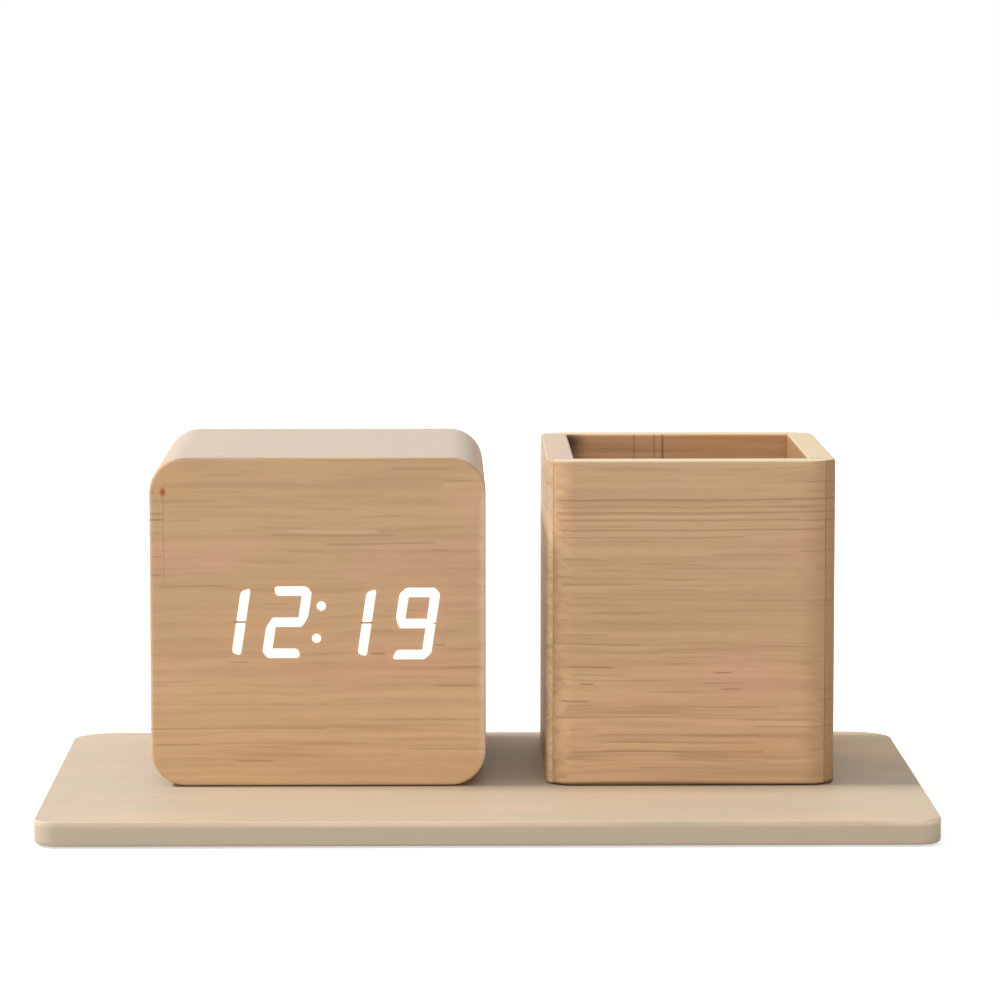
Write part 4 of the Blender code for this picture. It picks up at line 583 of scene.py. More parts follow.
potPatches = [
    ((0.052, -0.015, 0.026), (0.014, 0.02, 0.010), rose, 0.50),
    ((0.028, -0.015, 0.0224), (0.007, 0.02, 0.002), rose, 0.45),
    ((0.053, -0.015, 0.0125), (0.008, 0.02, 0.0035), (0.640, 0.350, 0.190), 0.65),
    ((0.043, -0.015, 0.0655), (0.025, 0.02, 0.004), rose, 0.25),
    # Darker strip by the right corner: painted shade where the corner turns away from the key
    ((0.0665, -0.015, 0.0370), (0.0055, 0.02, 0.120), (0.40, 0.235, 0.118), 0.60),
]
backPatches = [
    # Painted shade in the inner corner beside the left board
    ((0.0175, 0.0445, 0.064), (0.004, 0.004, 0.020), (0.12, 0.06, 0.04), 1.0),
    ((0.049, 0.0445, 0.068), (0.012, 0.004, 0.010), amber, 0.5),
    ((0.0316, 0.0445, 0.064), (0.0003, 0.002, 0.030), (0.24, 0.12, 0.07), 0.35),
    ((0.0358, 0.0445, 0.064), (0.0003, 0.002, 0.030), (0.24, 0.12, 0.07), 0.4),
    ((0.0375, 0.0445, 0.064), (0.0004, 0.002, 0.030), (0.16, 0.08, 0.05), 0.7),
]
# A painted highlight on the pot boards' rims: faces that point up take a bright cream tone
paintedRimHighlight = {"topTone": (0.660, 0.555, 0.385), "topShare": 0.90}
# The back board's inner face is lighter than the front board's wood: painted light against the shade inside
# the pot
backLook = {
    **bambooLook, **paintedRimHighlight, "light": (0.740, 0.415, 0.225), "warm": (0.750, 0.415, 0.238),
    "straw": (0.710, 0.420, 0.215), "foot": (0.740, 0.415, 0.225), "seed": 4.2,
}
# The left board is lighter below 50 mm and darker above 62 mm: painted light in the clock's shadow and
# painted shade where the key falls on it
leftLook = {
    **bambooLook, "light": (0.580, 0.440, 0.315), "foot": (0.880, 0.640, 0.400),
    "warm": (0.590, 0.420, 0.300), "straw": (0.570, 0.430, 0.300),
    "endTone": (0.640, 0.410, 0.270), "endShare": 0.5, "gloss": 0.035, "topTone": (0.560, 0.445, 0.350),
    "footHeight": 0.050, "topHeight": 0.062, "seed": 1.7,
}
# The right board's tones are darker throughout: painted shade on the corner that turns away from the key
shadedRightLook = {
    **bambooLook, "light": (0.430, 0.258, 0.138), "foot": (0.460, 0.270, 0.130),
    "warm": (0.440, 0.255, 0.145), "straw": (0.410, 0.262, 0.122),
    "endTone": (0.400, 0.235, 0.115), "gloss": 0.02, "endShare": 0.5, **paintedRimHighlight, "seed": 2.6,
}
# A line that reaches the pot's front right corner goes on over the right board, the painted shadow along the
# foot too
cornerPlace, rightStart, rightEnd = 68.3, 50.0, 75.0
rightLines = [(height, rightStart, rightEnd, width, strength)
              for height, start, end, width, strength in potLines if end > cornerPlace]
# The board's front face is darker below 3.8 mm and the band above 4.6 mm lighter: painted shade and a painted
# highlight on the top edge. Its flat top takes the flat tone.
paleLook = {
    **bambooLook, "light": (0.695, 0.552, 0.412), "flatTone": (0.540, 0.448, 0.338),
    "foot": (0.472, 0.380, 0.276), "warm": (0.600, 0.462, 0.342),
    "straw": (0.555, 0.460, 0.325), "dark": (0.470, 0.360, 0.250), "line": (0.330, 0.240, 0.160),
    "endTone": (0.510, 0.400, 0.310), "topShare": 0.0, "streak": 0.16, "fibre": 0.05, "seed": 3.1,
    "roughness": 0.55, "gloss": 0.15, "footHeight": 0.0038, "topHeight": 0.0046,
}

# Painted shade on the board's left end, where the key falls strongest, and painted light in the pot's shadow
# to its right
boardPaintedLight = [
    ((-0.078, 0.010, 0.005), (0.030, 0.080, 0.010), (0.455, 0.405, 0.345), 0.60),
    ((0.080, 0.030, 0.005), (0.016, 0.035, 0.010), (0.730, 0.560, 0.360), 0.85),
]

clockUprights = [(-63.2, 44.5, 64.0, 0.22, 0.28)]
# The shell's foot tone is close to its light tone, so it has no painted light at the foot. Its tops keep the
# painted sheen.
shellLook = {**bambooLook, "foot": (0.535, 0.348, 0.194), "seed": 0.8, "endShare": 0.0}
# The pot front is lighter at its foot, painted light against the shade there, as on the clock's face
potLook = {
    **bambooLook, **paintedRimHighlight, "foot": (0.680, 0.436, 0.242), "streak": 0.46, "fibre": 0.50, "seed": 2.3,
}

bamboo = bambooFinish("clockBamboo", bambooLook, clockLines, clockPatches, clockUprights)
shellBamboo = bambooFinish("shellBamboo", shellLook, wrapped=True)
potBamboo = bambooFinish("potBamboo", potLook, potLines, potPatches)
backBamboo = bambooFinish("potBackBamboo", backLook, (), backPatches)
leftBamboo = bambooFinish("potLeftBamboo", leftLook, alongY=True)
shadedRightBamboo = bambooFinish("potRightShadedBamboo", shadedRightLook, rightLines, alongY=True)
paleBamboo = bambooFinish("boardBamboo", paleLook, (), boardPaintedLight)
# By slot: name, colour, worn colour, grain, the grain's depth in mm and the range of roughness
plastics = {
    "black_plastic": (
        "blackMoulding", (0.018, 0.018, 0.020), (0.028, 0.028, 0.030), 3200.0, 0.03, (0.42, 0.58)),
    "button_plastic": (
        "buttonMoulding", (0.035, 0.035, 0.038), (0.048, 0.048, 0.050), 6000.0, 0.008, (0.26, 0.38)),
    "white_plastic": (
        "whiteMoulding", (0.70, 0.70, 0.68), (0.62, 0.61, 0.57), 5000.0, 0.006, (0.40, 0.52)),
    "chip_plastic": (
        "chipMoulding", (0.024, 0.024, 0.025), (0.036, 0.036, 0.036), 7000.0, 0.010, (0.48, 0.60)),
    "rubber": (
        "padRubber", (0.040, 0.040, 0.041), (0.062, 0.060, 0.058), 4000.0, 0.020, (0.70, 0.85)),
    "red_sleeve": (
        "redSleeve", (0.46, 0.018, 0.016), (0.38, 0.020, 0.018), 3000.0, 0.006, (0.34, 0.46)),
    "black_sleeve": (
        "blackSleeve", (0.022, 0.022, 0.022), (0.034, 0.034, 0.034), 3000.0, 0.006, (0.34, 0.46)),
    "circuit_board": (
        "solderMask", (0.012, 0.120, 0.048), (0.018, 0.155, 0.062), 1600.0, 0.010, (0.26, 0.36)),
}
finishes = {slotName: plasticFinish(*look) for slotName, look in plastics.items()}
nickel = metalFinish("nickelPlate", (0.74, 0.73, 0.70), (0.60, 0.58, 0.54), (0.22, 0.38))
finishes |= {
    "bamboo": bamboo, "pale_bamboo": paleBamboo, "digit_light": finishes["white_plastic"],
    "plated_steel": nickel, "cell_wrap": nickel,
}
for entry in frame["record"]["subparts"]:
    carried = nodes[entry["node"]]
    if not carried.material_slots:
        carried.data.materials.append(None)
    for place in carried.material_slots:
        place.material = finishes[entry["material_slot"]]
print("finishes built:", len(bpy.data.materials))


# The board under everything, its pads and the screws from below

boardScrew = {
    "headRadius": 2.8 * mm, "shankRadius": 1.4 * mm, "dome": 0.05 * mm, "inward": False,
    "slot": (0.36 * mm, 1.7 * mm, 0.9 * mm, 0.1 * mm),  # half an arm's width, its reach, its depth and slope
    "profile": [(2.8 * mm, 0.06 * mm), (1.4 * mm, 1.4 * mm), (1.4 * mm, 6.9 * mm), (0.7 * mm, 7.9 * mm)],
}
board = {
    "width": 172 * mm, "depth": 110 * mm, "bottom": 0.4 * mm, "top": 5.2 * mm,
    "corners": np.array([8.5, 8.5, 4.5, 4.5]) * mm,  # back right, back left, front left, front right
    "topEase": 0.3 * mm, "bottomEase": 0.8 * mm,
    "padPlaces": [(x, y) for y in (-0.043, 0.043) for x in (-0.074, 0.074)],
    "padRadius": 5 * mm, "padGap": 0.3 * mm, "pocketTop": 1.2 * mm,
    "screwPlaces": [(-0.033, 0.001), (-0.033, 0.034), (0.0405, 0.001), (0.0405, 0.034)],
    "screwGap": 0.2 * mm, "headLevel": 0.7 * mm, "neckLevel": 2.1 * mm, "holeTop": 5.0 * mm,
}
pad = {
    "top": 1.0 * mm, "ease": 0.25 * mm, "support": 0.2 * mm, "middle": 0.5 * mm, "dish": 0.08 * mm,
    "tread": [(2.2 * mm, 0.08 * mm), (3.4 * mm, 0.08 * mm), (3.6 * mm, 0)],
}


def boardRing(inset, level):
    width, depth = board["width"] - 2 * inset, board["depth"] - 2 * inset
    return onPlan(roundedOutline(width, depth, board["corners"] - inset, 10, 4), level)


def makeBoard():
    # The outline is carried down over a rounded top edge, the side and a rounded bottom edge. The underside
    # is cut round circles, and each circle is carried up its pocket or screw hole.
    over = easedRings(boardRing, board["top"], board["topEase"], 6)
    under = easedRings(boardRing, board["bottom"], board["bottomEase"], 6, 1)[::-1]
    vertices, faces = shell(over + under, start="flat")
    pocket = board["padRadius"] + board["padGap"]
    head, neck = (boardScrew[key] + board["screwGap"] for key in ("headRadius", "shankRadius"))
    padProfile = [(pocket, board["bottom"]), (pocket, board["pocketTop"])]
    screwProfile = [(head, board["bottom"]), (head, board["headLevel"]),
                    (neck, board["neckLevel"]), (neck, board["holeTop"])]
    hollows = [(place, padProfile) for place in board["padPlaces"]]
    hollows += [(place, screwProfile) for place in board["screwPlaces"]]
    loops = [under[-1]]
    starts = [len(vertices) - len(under[-1])]
    for place, profile in hollows:
        rings = [onPlan(circleOutline(radius, 40) + place, level) for radius, level in profile]
        points, polygons = shell(rings, end="flat")
        loops.append(rings[0])
        starts.append(len(vertices))
        faces += [[index + len(vertices) for index in face] for face in polygons]
        vertices = np.vstack([vertices, points])
    index = np.concatenate([np.arange(len(loop)) + start for loop, start in zip(loops, starts)])
    for triangle in tessellate_polygon([[Vector(point) for point in loop] for loop in loops]):
        corners = index[list(triangle)]
        a, b, c = vertices[corners]
        faces.append(corners[::-1].tolist() if np.cross(b - a, c - a)[2] > 0 else corners.tolist())
    return vertices, faces


def orient(vertices, faces):
    # Makes neighbouring faces agree, for a part put together from several surfaces
    work = bmesh.new()
    data = bpy.data.meshes.new("orienting")
    data.from_pydata(vertices.tolist(), [], faces)
    work.from_mesh(data)
    bmesh.ops.recalc_face_normals(work, faces=work.faces)
    turned = [[vertex.index for vertex in face.verts] for face in work.faces]
    work.free()
    bpy.data.meshes.remove(data)
    return vertices, turned


piece("baseBoard", [orient(*makeBoard())], "stand", "pale_bamboo", ["base_board"])


def lathe(profile, place, steps=40, axis="up"):
    # A profile of (radius, reach) pairs turned about an axis through a place.
    # Reach runs up, inwards (-Y) or along X.
    rings = []
    for radius, reach in profile:
        circle = circleOutline(radius, steps)
        level = np.full(steps, reach)
        if axis == "up":
            ring = np.column_stack([circle, level])
        elif axis == "inward":
            ring = np.column_stack([circle[:, 0], -level, circle[:, 1]])
        else:
            ring = np.column_stack([level, circle])
        rings.append(ring + np.asarray(place))
    return shell(rings, "fan", "fan")


for number, (x, y) in enumerate(board["padPlaces"], 1):
    edge = [(board["padRadius"] - inset, drop) for inset, drop in easeArc(pad["ease"], 4, pad["support"])]
    top = [(board["padRadius"], pad["top"]), (pad["middle"], pad["top"])]
    made = lathe([(pad["middle"], pad["dish"])] + pad["tread"] + edge + top, (x, y, 0))
    piece(f"footPad{number}", [made], "stand", "rubber", [f"foot_pad_{number}"])


def crossRecess(x, y, arm, reach, depth, slope):
    # Depth of a cross slot: both arms are the product of two clamped ramps, and the deeper arm counts
    def inside(value, limit):
        return np.clip((limit - np.abs(value)) / slope + 0.5, 0, 1)
    return depth * np.maximum(inside(x, arm) * inside(y, reach), inside(y, arm) * inside(x, reach))


screwHead = {"steps": 80, "rings": 24, "innermost": 0.02, "turn": math.pi / 5}


def screw(kind, place):
    # The head is a height over polar coordinates: dome d (r / R)^2 plus the cross slot.
    # The profile goes on from the head's edge.
    steps = screwHead["steps"]
    radii = np.linspace(screwHead["innermost"], 1, screwHead["rings"])[:, None] * kind["headRadius"]
    around = np.linspace(0, 2 * math.pi, steps, endpoint=False)[None, :] + screwHead["turn"]
    x, y = radii * np.cos(around), radii * np.sin(around)
    level = kind["dome"] * (radii / kind["headRadius"]) ** 2 + crossRecess(x, y, *kind["slot"])
    rings = list(np.stack([x, y, level], axis=-1))
    for radius, drop in kind["profile"]:
        circle = [radius * np.cos(around[0]), radius * np.sin(around[0])]
        rings.append(np.column_stack([*circle, np.full(steps, drop)]))
    rings = np.array(rings)
    if kind["inward"]:
        rings = np.stack([rings[..., 0], -rings[..., 2], rings[..., 1]], axis=-1)
    return shell(rings + np.asarray(place), "fan", "fan")


screwNames = ("clock_screw_front", "clock_screw_back", "pot_screw_front", "pot_screw_back")
for name, place in zip(screwNames, board["screwPlaces"]):
    made = screw(boardScrew, (*place, board["headLevel"]))
    piece(name.replace("_", "") + "Head", [made], "stand", "plated_steel", [name])
print("board, pads and screws built")


# The clock: shell, front face and lit digits

clock = {
    "left": -66 * mm, "right": 0.0, "front": -15 * mm, "back": 50 * mm, "bottom": 5.4 * mm, "top": 70.4 * mm,
    "corner": 7 * mm, "faceThickness": 4 * mm, "faceEase": 0.6 * mm, "faceBackEase": 0.05 * mm,
    "faceSides": 90, "faceRings": 105, "innermost": 0.015, "shellStart": 4.03 * mm,
    "shellFrontEase": 0.06 * mm, "shellEase": 0.4 * mm,
    "lip": 2.6 * mm, "lipEase": 0.2 * mm, "ledge": 61.7 * mm, "wall": 5 * mm, "cavityCorner": 9 * mm,
}
clock["width"] = clock["right"] - clock["left"]
clock["height"] = clock["top"] - clock["bottom"]
clock["middle"] = np.array(
    [(clock["left"] + clock["right"]) / 2, clock["front"], (clock["top"] + clock["bottom"]) / 2])


def clockOutline(inset, corner, sideSteps):
    return roundedOutline(clock["width"] - 2 * inset, clock["height"] - 2 * inset, corner, 12, sideSteps)


def clockRing(inset, depth, corner=None, sideSteps=3):
    radius = clock["corner"] - inset if corner is None else corner
    return onFace(clockOutline(inset, radius, sideSteps), depth) + clock["middle"]


def makeShell():
    # A closed profile of (inset, depth) pairs carried round the cube:
    # outside, back edge, mouth, ledge and cavity
    depth = clock["back"] - clock["front"]
    front = easedRings(clockRing, clock["shellStart"], clock["shellFrontEase"], 3, 1)
    back = easedRings(clockRing, depth, clock["shellEase"], 5)[::-1]
    mouth = [clockRing(clock["lip"] - inset, depth - drop) for inset, drop in easeArc(clock["lipEase"], 3)]
    mouth += [clockRing(clock["lip"], clock["ledge"])]
    cavity = [clockRing(clock["wall"], level, clock["cavityCorner"])
              for level in (clock["ledge"], clock["shellStart"])]
    return shell(front + back + mouth + cavity, wrapRings=True)


piece("clockShell", [makeShell()], "stand", "bamboo", ["clock_housing"], shellBamboo)


digits = {
    "pitch": 12.7 * mm, "width": 8.0 * mm, "height": 14.2 * mm, "slant": 8.5, "stroke": 1.9 * mm,
    "chamfer": 1.2 * mm, "endGap": 0.15 * mm, "rounding": 0.8 * mm, "shift": 0.2 * mm,
    "freeEnd": 0.4 * mm, "endSlope": 0.6 * mm, "notch": 0.5 * mm, "cut": 1.0 * mm,
    "offsets": [(0.7 * mm, 0.05 * mm), (0.1 * mm, 0.0), (0.0, -0.15 * mm), (-0.1 * mm, -0.3 * mm)],
    "colonRise": 3.2 * mm, "colonRadius": 0.92 * mm, "proud": 0.04 * mm, "root": 0.1 * mm,
    "join": 0.05 * mm, "slit": 0.2 * mm, "glowReach": 1.1 * mm, "glowDepth": 1 * mm,
    "glowTone": (0.060, 0.014, 0.003), "segments": {"1": "bc", "2": "abged", "9": "abcdfg"}, "time": "1219",
}


def barOutline(bar, lit):
    # One bar of a seven segment figure about its middle, a to g clockwise from the top with g in the middle.
    # An end that meets a lit bar is mitred; an end that meets none reaches a little less far and slopes.
    # Every point carries how far its corner is rounded, as a share of the full rounding.
    a, b = digits["width"] / 2, digits["height"] / 2
    stroke, chamfer, gap, cut = (digits[key] for key in ("stroke", "chamfer", "endGap", "cut"))
    if bar == "g":
        end, reach = a - stroke + digits["join"], a - digits["notch"]
        slit, half = digits["slit"], stroke / 2
        return np.array([(-end, -half, 0), (end, -half, 0), (end, -slit, 0), (reach, -slit, 0),
                         (reach, slit, 0), (end, slit, 0), (end, half, 0), (-end, half, 0)])
    mitre = [(a - stroke, b - stroke, 0), (a - chamfer / 2, b - chamfer / 2, 0)]
    if bar in "ad":
        halves = []
        for neighbour, side in zip({"a": "bf", "d": "ce"}[bar], (1, -1)):
            if neighbour in lit:
                points = mitre + [(a - chamfer, b, 0.8)]
            else:
                reach = a - digits["freeEnd"]
                points = [(reach - digits["endSlope"], b - stroke, 1), (reach, b, 1)]
            halves.append(np.array(points) * (side, 1, 1))
        return np.vstack([halves[0], halves[1][::-1]]) * (1, 1 if bar == "a" else -1, 1)
    if {"b": "a", "f": "a", "c": "d", "e": "d"}[bar] in lit:
        points = mitre + [(a, b - chamfer, 0.8)]
    else:
        points = [(a - stroke, b - digits["freeEnd"] - digits["endSlope"], 1), (a, b - digits["freeEnd"], 1)]
    if {"b": "c", "c": "b", "f": "e", "e": "f"}[bar] in lit:
        corner = 0 if "g" in lit else 0.4
        points += [(a, gap, corner), (a - stroke, gap, corner)]
    else:
        points += [(a, cut, 1), (a - cut, -stroke / 2, 0.6), (a - stroke, -stroke / 2, 0)]
    return np.array(points) * {"b": (1, 1, 1), "c": (1, -1, 1), "f": (-1, 1, 1), "e": (-1, -1, 1)}[bar]


def roundCorners(outline, shares, reach, steps=4):
    # Each corner C becomes the curve (1-t)^2 A + 2t(1-t) C + t^2 B, with A and B a short way along its sides
    before, after = np.roll(outline, 1, axis=0) - outline, np.roll(outline, -1, axis=0) - outline
    lengths = [np.linalg.norm(way, axis=1, keepdims=True) for way in (before, after)]
    reach = np.maximum(reach * shares[:, None], 0.02 * mm)
    a, b = (outline + way * np.minimum(reach / length, 0.45) for way, length in zip((before, after), lengths))
    t = np.linspace(0, 1, steps + 1)[None, :, None]
    curve = (1 - t) ** 2 * a[:, None] + 2 * t * (1 - t) * outline[:, None] + t ** 2 * b[:, None]
    return curve.reshape(-1, 2)


def lean(points):
    # Moves each point along X by its height times the tangent of the slant
    across = points[:, 1] * math.tan(math.radians(digits["slant"]))
    return points + np.column_stack([across, np.zeros(len(points))])


def litOutlines():
    outlines = []
    for place, figure in enumerate(digits["time"]):
        across, up = digits["offsets"][place]
        shift = (place - (len(digits["time"]) - 1) / 2) * digits["pitch"] + digits["shift"] + across
        lit = digits["segments"][figure]
        for bar in lit:
            outline = barOutline(bar, lit)
            rounded = roundCorners(lean(outline[:, :2]), outline[:, 2], digits["rounding"])
            outlines.append(rounded + (shift, up))
    for up in (digits["colonRise"], -digits["colonRise"]):
        middle = lean(np.array([(digits["shift"], up)]))[0]
        outlines.append(circleOutline(digits["colonRadius"], 24) + middle)
    return outlines


def faceRing(inset, depth):
    return clockRing(inset, depth, sideSteps=clock["faceSides"])


def makeFace():
    # The face is the outline scaled towards its middle, ring after ring. The profile goes on over the edge.
    inset = easeArc(clock["faceEase"], 4)[0][0]
    flat = clockOutline(inset, clock["corner"] - inset, clock["faceSides"])
    share = np.linspace(clock["innermost"], 1, clock["faceRings"])[:-1]
    rings = [onFace(flat * scale, 0.0) + clock["middle"] for scale in share]
    rings += easedRings(faceRing, 0, clock["faceEase"], 4, 1)
    rings += easedRings(faceRing, clock["faceThickness"], clock["faceBackEase"], 2)[::-1]
    return shell(rings, "fan", "flat")


def glow(places):
    # How near a point of the face is to a lit bar: exp(-distance / reach), with the distance to the bars'
    # outlines and to the same outlines at half size
    halves = [outline * 0.5 + outline.mean(axis=0) * 0.5 for outline in litOutlines()]
    dots = np.vstack([np.vstack(pair) for pair in zip(litOutlines(), halves)])
    across = places[:, [0, 2]] - clock["middle"][[0, 2]]
    nearest = np.full(len(across), 1.0)
    for dot in dots:
        np.minimum(nearest, np.hypot(across[:, 0] - dot[0], across[:, 1] - dot[1]), out=nearest)
    onFront = places[:, 1] < clock["front"] + digits["glowDepth"]
    return np.where(onFront, np.exp(-nearest / digits["glowReach"]), 0.0)


def lightFace():
    # Gives the face's bamboo a warm glow where the light of the digits spreads in the wood
    tree = bamboo.node_tree
    near = add(tree, "Attribute", attribute_name="glow").outputs["Fac"]
    shine(tree, tree.nodes["Principled BSDF"], blend(tree, near, (0, 0, 0), digits["glowTone"]))


lightFace()
face = piece("clockFace", [makeFace()], "stand", "bamboo", ["front_panel"])
paint(face, "glow", glow)


def digitFinish():
    material, tree, shader, place = newFinish("digitLight", Base_Color=(0.10, 0.09, 0.07), Roughness=0.5)
    uneven = ramp(tree, noise(tree, place, (260, 260, 260), 1.0), 0.4, 0.6)
    shine(tree, shader, blend(tree, uneven, (0.99, 0.96, 0.86), (0.99, 0.94, 0.90)))
    return material


def makeDigits():
    # Each bar is its outline carried from just under the face to just proud of it
    parts = []
    for outline in litOutlines():
        rings = [onFace(outline, level) + clock["middle"] for level in (digits["root"], -digits["proud"])]
        parts.append(shell(rings, "flat", "flat"))
    return parts


piece("litTime", makeDigits(), "stand", "digit_light", material=digitFinish())
print("clock built")


# The pen pot: four boards and a floor

pot = {
    "middle": np.array([40.5 * mm, 17.5 * mm, 5.4 * mm]), "width": 57 * mm, "depth": 65 * mm,
    "height": 64.2 * mm, "wall": 5.5 * mm, "corner": 5.5 * mm, "rightLip": 2.2 * mm, "leftLip": 1.2 * mm,
    "glue": 0.05 * mm, "rimEase": 0.45 * mm, "footEase": 0.35 * mm, "firstTurn": math.radians(13),
    "floor": 5 * mm, "floorStart": 0.1 * mm, "floorFootCorner": 0.4 * mm, "floorCorner": 0.5 * mm,
    "floorEase": 0.15 * mm,
}


def cornerArc(first, last, steps):
    # Points on the front right corner of the pot's plan, between two angles
    around = np.linspace(first, last, steps + 1)
    middle = (pot["width"] / 2 - pot["corner"], -pot["depth"] / 2 + pot["corner"])
    circle = (pot["corner"] * np.cos(around), pot["corner"] * np.sin(around))
    return np.stack([middle[0] + circle[0], middle[1] + circle[1]], axis=1)


def lipAngle(reach):
    return math.acos((pot["corner"] - reach) / pot["corner"])


def frontBoardPlan():
    joint, leftJoint = pot["rightLip"] + pot["glue"], pot["leftLip"] + pot["glue"]
    right = cornerArc(-math.pi / 2, -lipAngle(joint), 8)
    left = cornerArc(-math.pi / 2, -lipAngle(leftJoint), 8)[::-1] * (-1, 1)
    inner = -pot["depth"] / 2 + pot["wall"]
    ends = np.array([(pot["width"] / 2 - joint, inner), (-pot["width"] / 2 + leftJoint, inner)])
    outline = np.vstack([left, right, ends])
    eased = np.ones(len(outline))
    eased[len(right) * 2 - 1] = 0  # the joint at the right end
    eased[-1] = 0  # the joint at the left end
    return outline, eased


def sideBoardPlan(width):
    angle = lipAngle(width)
    front = np.vstack([cornerArc(-angle, -angle, 0), cornerArc(-angle + pot["firstTurn"], 0, 6)])
    shoulder = pot["depth"] / 2 - pot["wall"] - pot["glue"]
    lip, inner = pot["width"] / 2 - width, pot["width"] / 2 - pot["wall"]
    ends = np.array([(lip, shoulder), (inner, shoulder), (inner, -shoulder), (lip, -shoulder)])
    outline = np.vstack([front, front[::-1] * (1, -1), ends])
    eased = np.ones(len(outline))
    start = 2 * len(front)
    eased[[start - 1, start, start + 2, start + 3]] = 0  # both lips' inner faces and both shoulders
    return outline, eased


def insetOutline(outline, eased, distance):
    # Each side moves inwards by distance times its own share; a corner v solves n1 . v = -s1 and n2 . v = -s2
    side = np.roll(outline, -1, axis=0) - outline
    normal = np.stack([side[:, 1], -side[:, 0]], axis=1) / np.linalg.norm(side, axis=1, keepdims=True)
    first, firstShift = np.roll(normal, 1, axis=0), -np.roll(eased, 1) * distance
    second, secondShift = normal, -eased * distance
    cross = first[:, 0] * second[:, 1] - first[:, 1] * second[:, 0]
    straight = np.abs(cross) < 1e-4
    safe = np.where(straight, 1.0, cross)
    solvedX = (firstShift * second[:, 1] - secondShift * first[:, 1]) / safe
    solvedY = (first[:, 0] * secondShift - second[:, 0] * firstShift) / safe
    x = np.where(straight, normal[:, 0] * secondShift, solvedX)
    y = np.where(straight, normal[:, 1] * secondShift, solvedY)
    return outline + np.stack([x, y], axis=1)


def makePotBoard(plan, scale):
    outline, eased = plan

    def ring(inset, level):
        return onPlan(insetOutline(outline, eased, inset), level)
    foot = easedRings(ring, 0, pot["footEase"], 4, 1)
    rim = easedRings(ring, pot["height"], pot["rimEase"], 4)[::-1]
    return shell([each * (*scale, 1) + pot["middle"] for each in foot + rim], "flat", "flat")


potBoards = {
    "Front": (frontBoardPlan(), (1, 1), potBamboo), "Back": (frontBoardPlan(), (1, -1), backBamboo),
    "Right": (sideBoardPlan(pot["rightLip"]), (1, 1), shadedRightBamboo),
    "Left": (sideBoardPlan(pot["leftLip"]), (-1, 1), leftBamboo),
}
for side, (plan, scale, finish) in potBoards.items():
    made = makePotBoard(plan, scale)
    piece("pot" + side, [made], "stand", "bamboo", [f"pot_{side.lower()}_board"], finish)


def makePotFloor():
    width, depth = (pot[key] - 2 * (pot["wall"] + pot["glue"]) for key in ("width", "depth"))

    def ring(inset, level, corner=pot["floorCorner"]):
        return onPlan(roundedOutline(width - 2 * inset, depth - 2 * inset, corner, 3), level)
    rings = [ring(0, pot["floorStart"], pot["floorFootCorner"])]
    rings += easedRings(ring, pot["floor"], pot["floorEase"], 3)[::-1]
    return shell([each + pot["middle"] for each in rings], "flat", "flat")


piece("potFloor", [makePotFloor()], "stand", "bamboo", ["pot_floor"], shellBamboo)
print("pot built")


# The back of the clock: buttons, screws and socket. Reach runs inwards from the cover's outer face

cover = {
    "middle": np.array([-33 * mm, 49.4 * mm, 37.9 * mm]), "screwX": 26.8 * mm, "screwZ": 26.3 * mm,
    "screwSink": -0.1 * mm, "controlLine": 20.828 * mm, "jackPlace": 18.5 * mm,
    "buttonPlaces": {"set": -20 * mm, "up": -11.5 * mm, "down": -3 * mm},
}
coverScrew = {
    "headRadius": 1.74 * mm, "dome": 0.35 * mm, "inward": True,
    "slot": (0.26 * mm, 1.05 * mm, 0.7 * mm, 0.1 * mm),
    "profile": [(1.8 * mm, 0.55 * mm), (1.8 * mm, 1.2 * mm), (0.9 * mm, 1.2 * mm), (0.9 * mm, 7.9 * mm),
                (0.45 * mm, 8.8 * mm)],
}
button = {
    "width": 6.4 * mm, "height": 4.0 * mm, "sideFlat": 0.3 * mm, "stand": 0.9 * mm, "ease": 0.45 * mm,
    "support": 0.05 * mm, "dish": 0.22 * mm, "flangeFront": 2.7 * mm, "flangeBack": 3.5 * mm,
    "flangeMargin": 0.75 * mm, "stemRadius": 1.2 * mm, "stemOverlap": 0.2 * mm, "stemEnd": 4.6 * mm,
    "rings": 14, "innermost": 0.05,
}


def makeButton(place):
    # The cap's top is the outline scaled by s at a depth that falls as 1 - s^2.
    # Edge, skirt and flange follow.
    def ring(margin, reach, scale=1.0):
        width, height = button["width"] + 2 * margin, button["height"] + 2 * margin
        outline = roundedOutline(width, height, height / 2 - button["sideFlat"], 8, 3)
        return onFace(outline * scale, -reach) + place
    edge = easeArc(button["ease"], 6, button["support"])
    share = np.linspace(button["innermost"], 1, button["rings"])[:-1]
    rings = [ring(-edge[0][0], button["dish"] * (1 - scale ** 2) - button["stand"], scale)
             for scale in share]
    rings += [ring(-inset, drop - button["stand"]) for inset, drop in edge]
    rings += [ring(0, button["flangeFront"]), ring(button["flangeMargin"], button["flangeFront"]),
              ring(button["flangeMargin"], button["flangeBack"])]
    stem = [(button["stemRadius"], button["flangeBack"] - button["stemOverlap"]),
            (button["stemRadius"], button["stemEnd"])]
    return [shell(rings, "fan", "flat"), lathe(stem, place, 24, "inward")]


for name, across in cover["buttonPlaces"].items():
    place = cover["middle"] + (across, 0, cover["controlLine"])
    piece(name + "Button", makeButton(place), name + "_key", "button_plastic", [name + "_button"])

corners = [(across, up) for across in (-cover["screwX"], cover["screwX"])
           for up in (-cover["screwZ"], cover["screwZ"])]
for number, (across, up) in enumerate(corners, 1):
    made = screw(coverScrew, cover["middle"] + (across, cover["screwSink"], up))
    piece(f"coverScrew{number}", [made], "stand", "plated_steel", [f"cover_screw_{number}"])


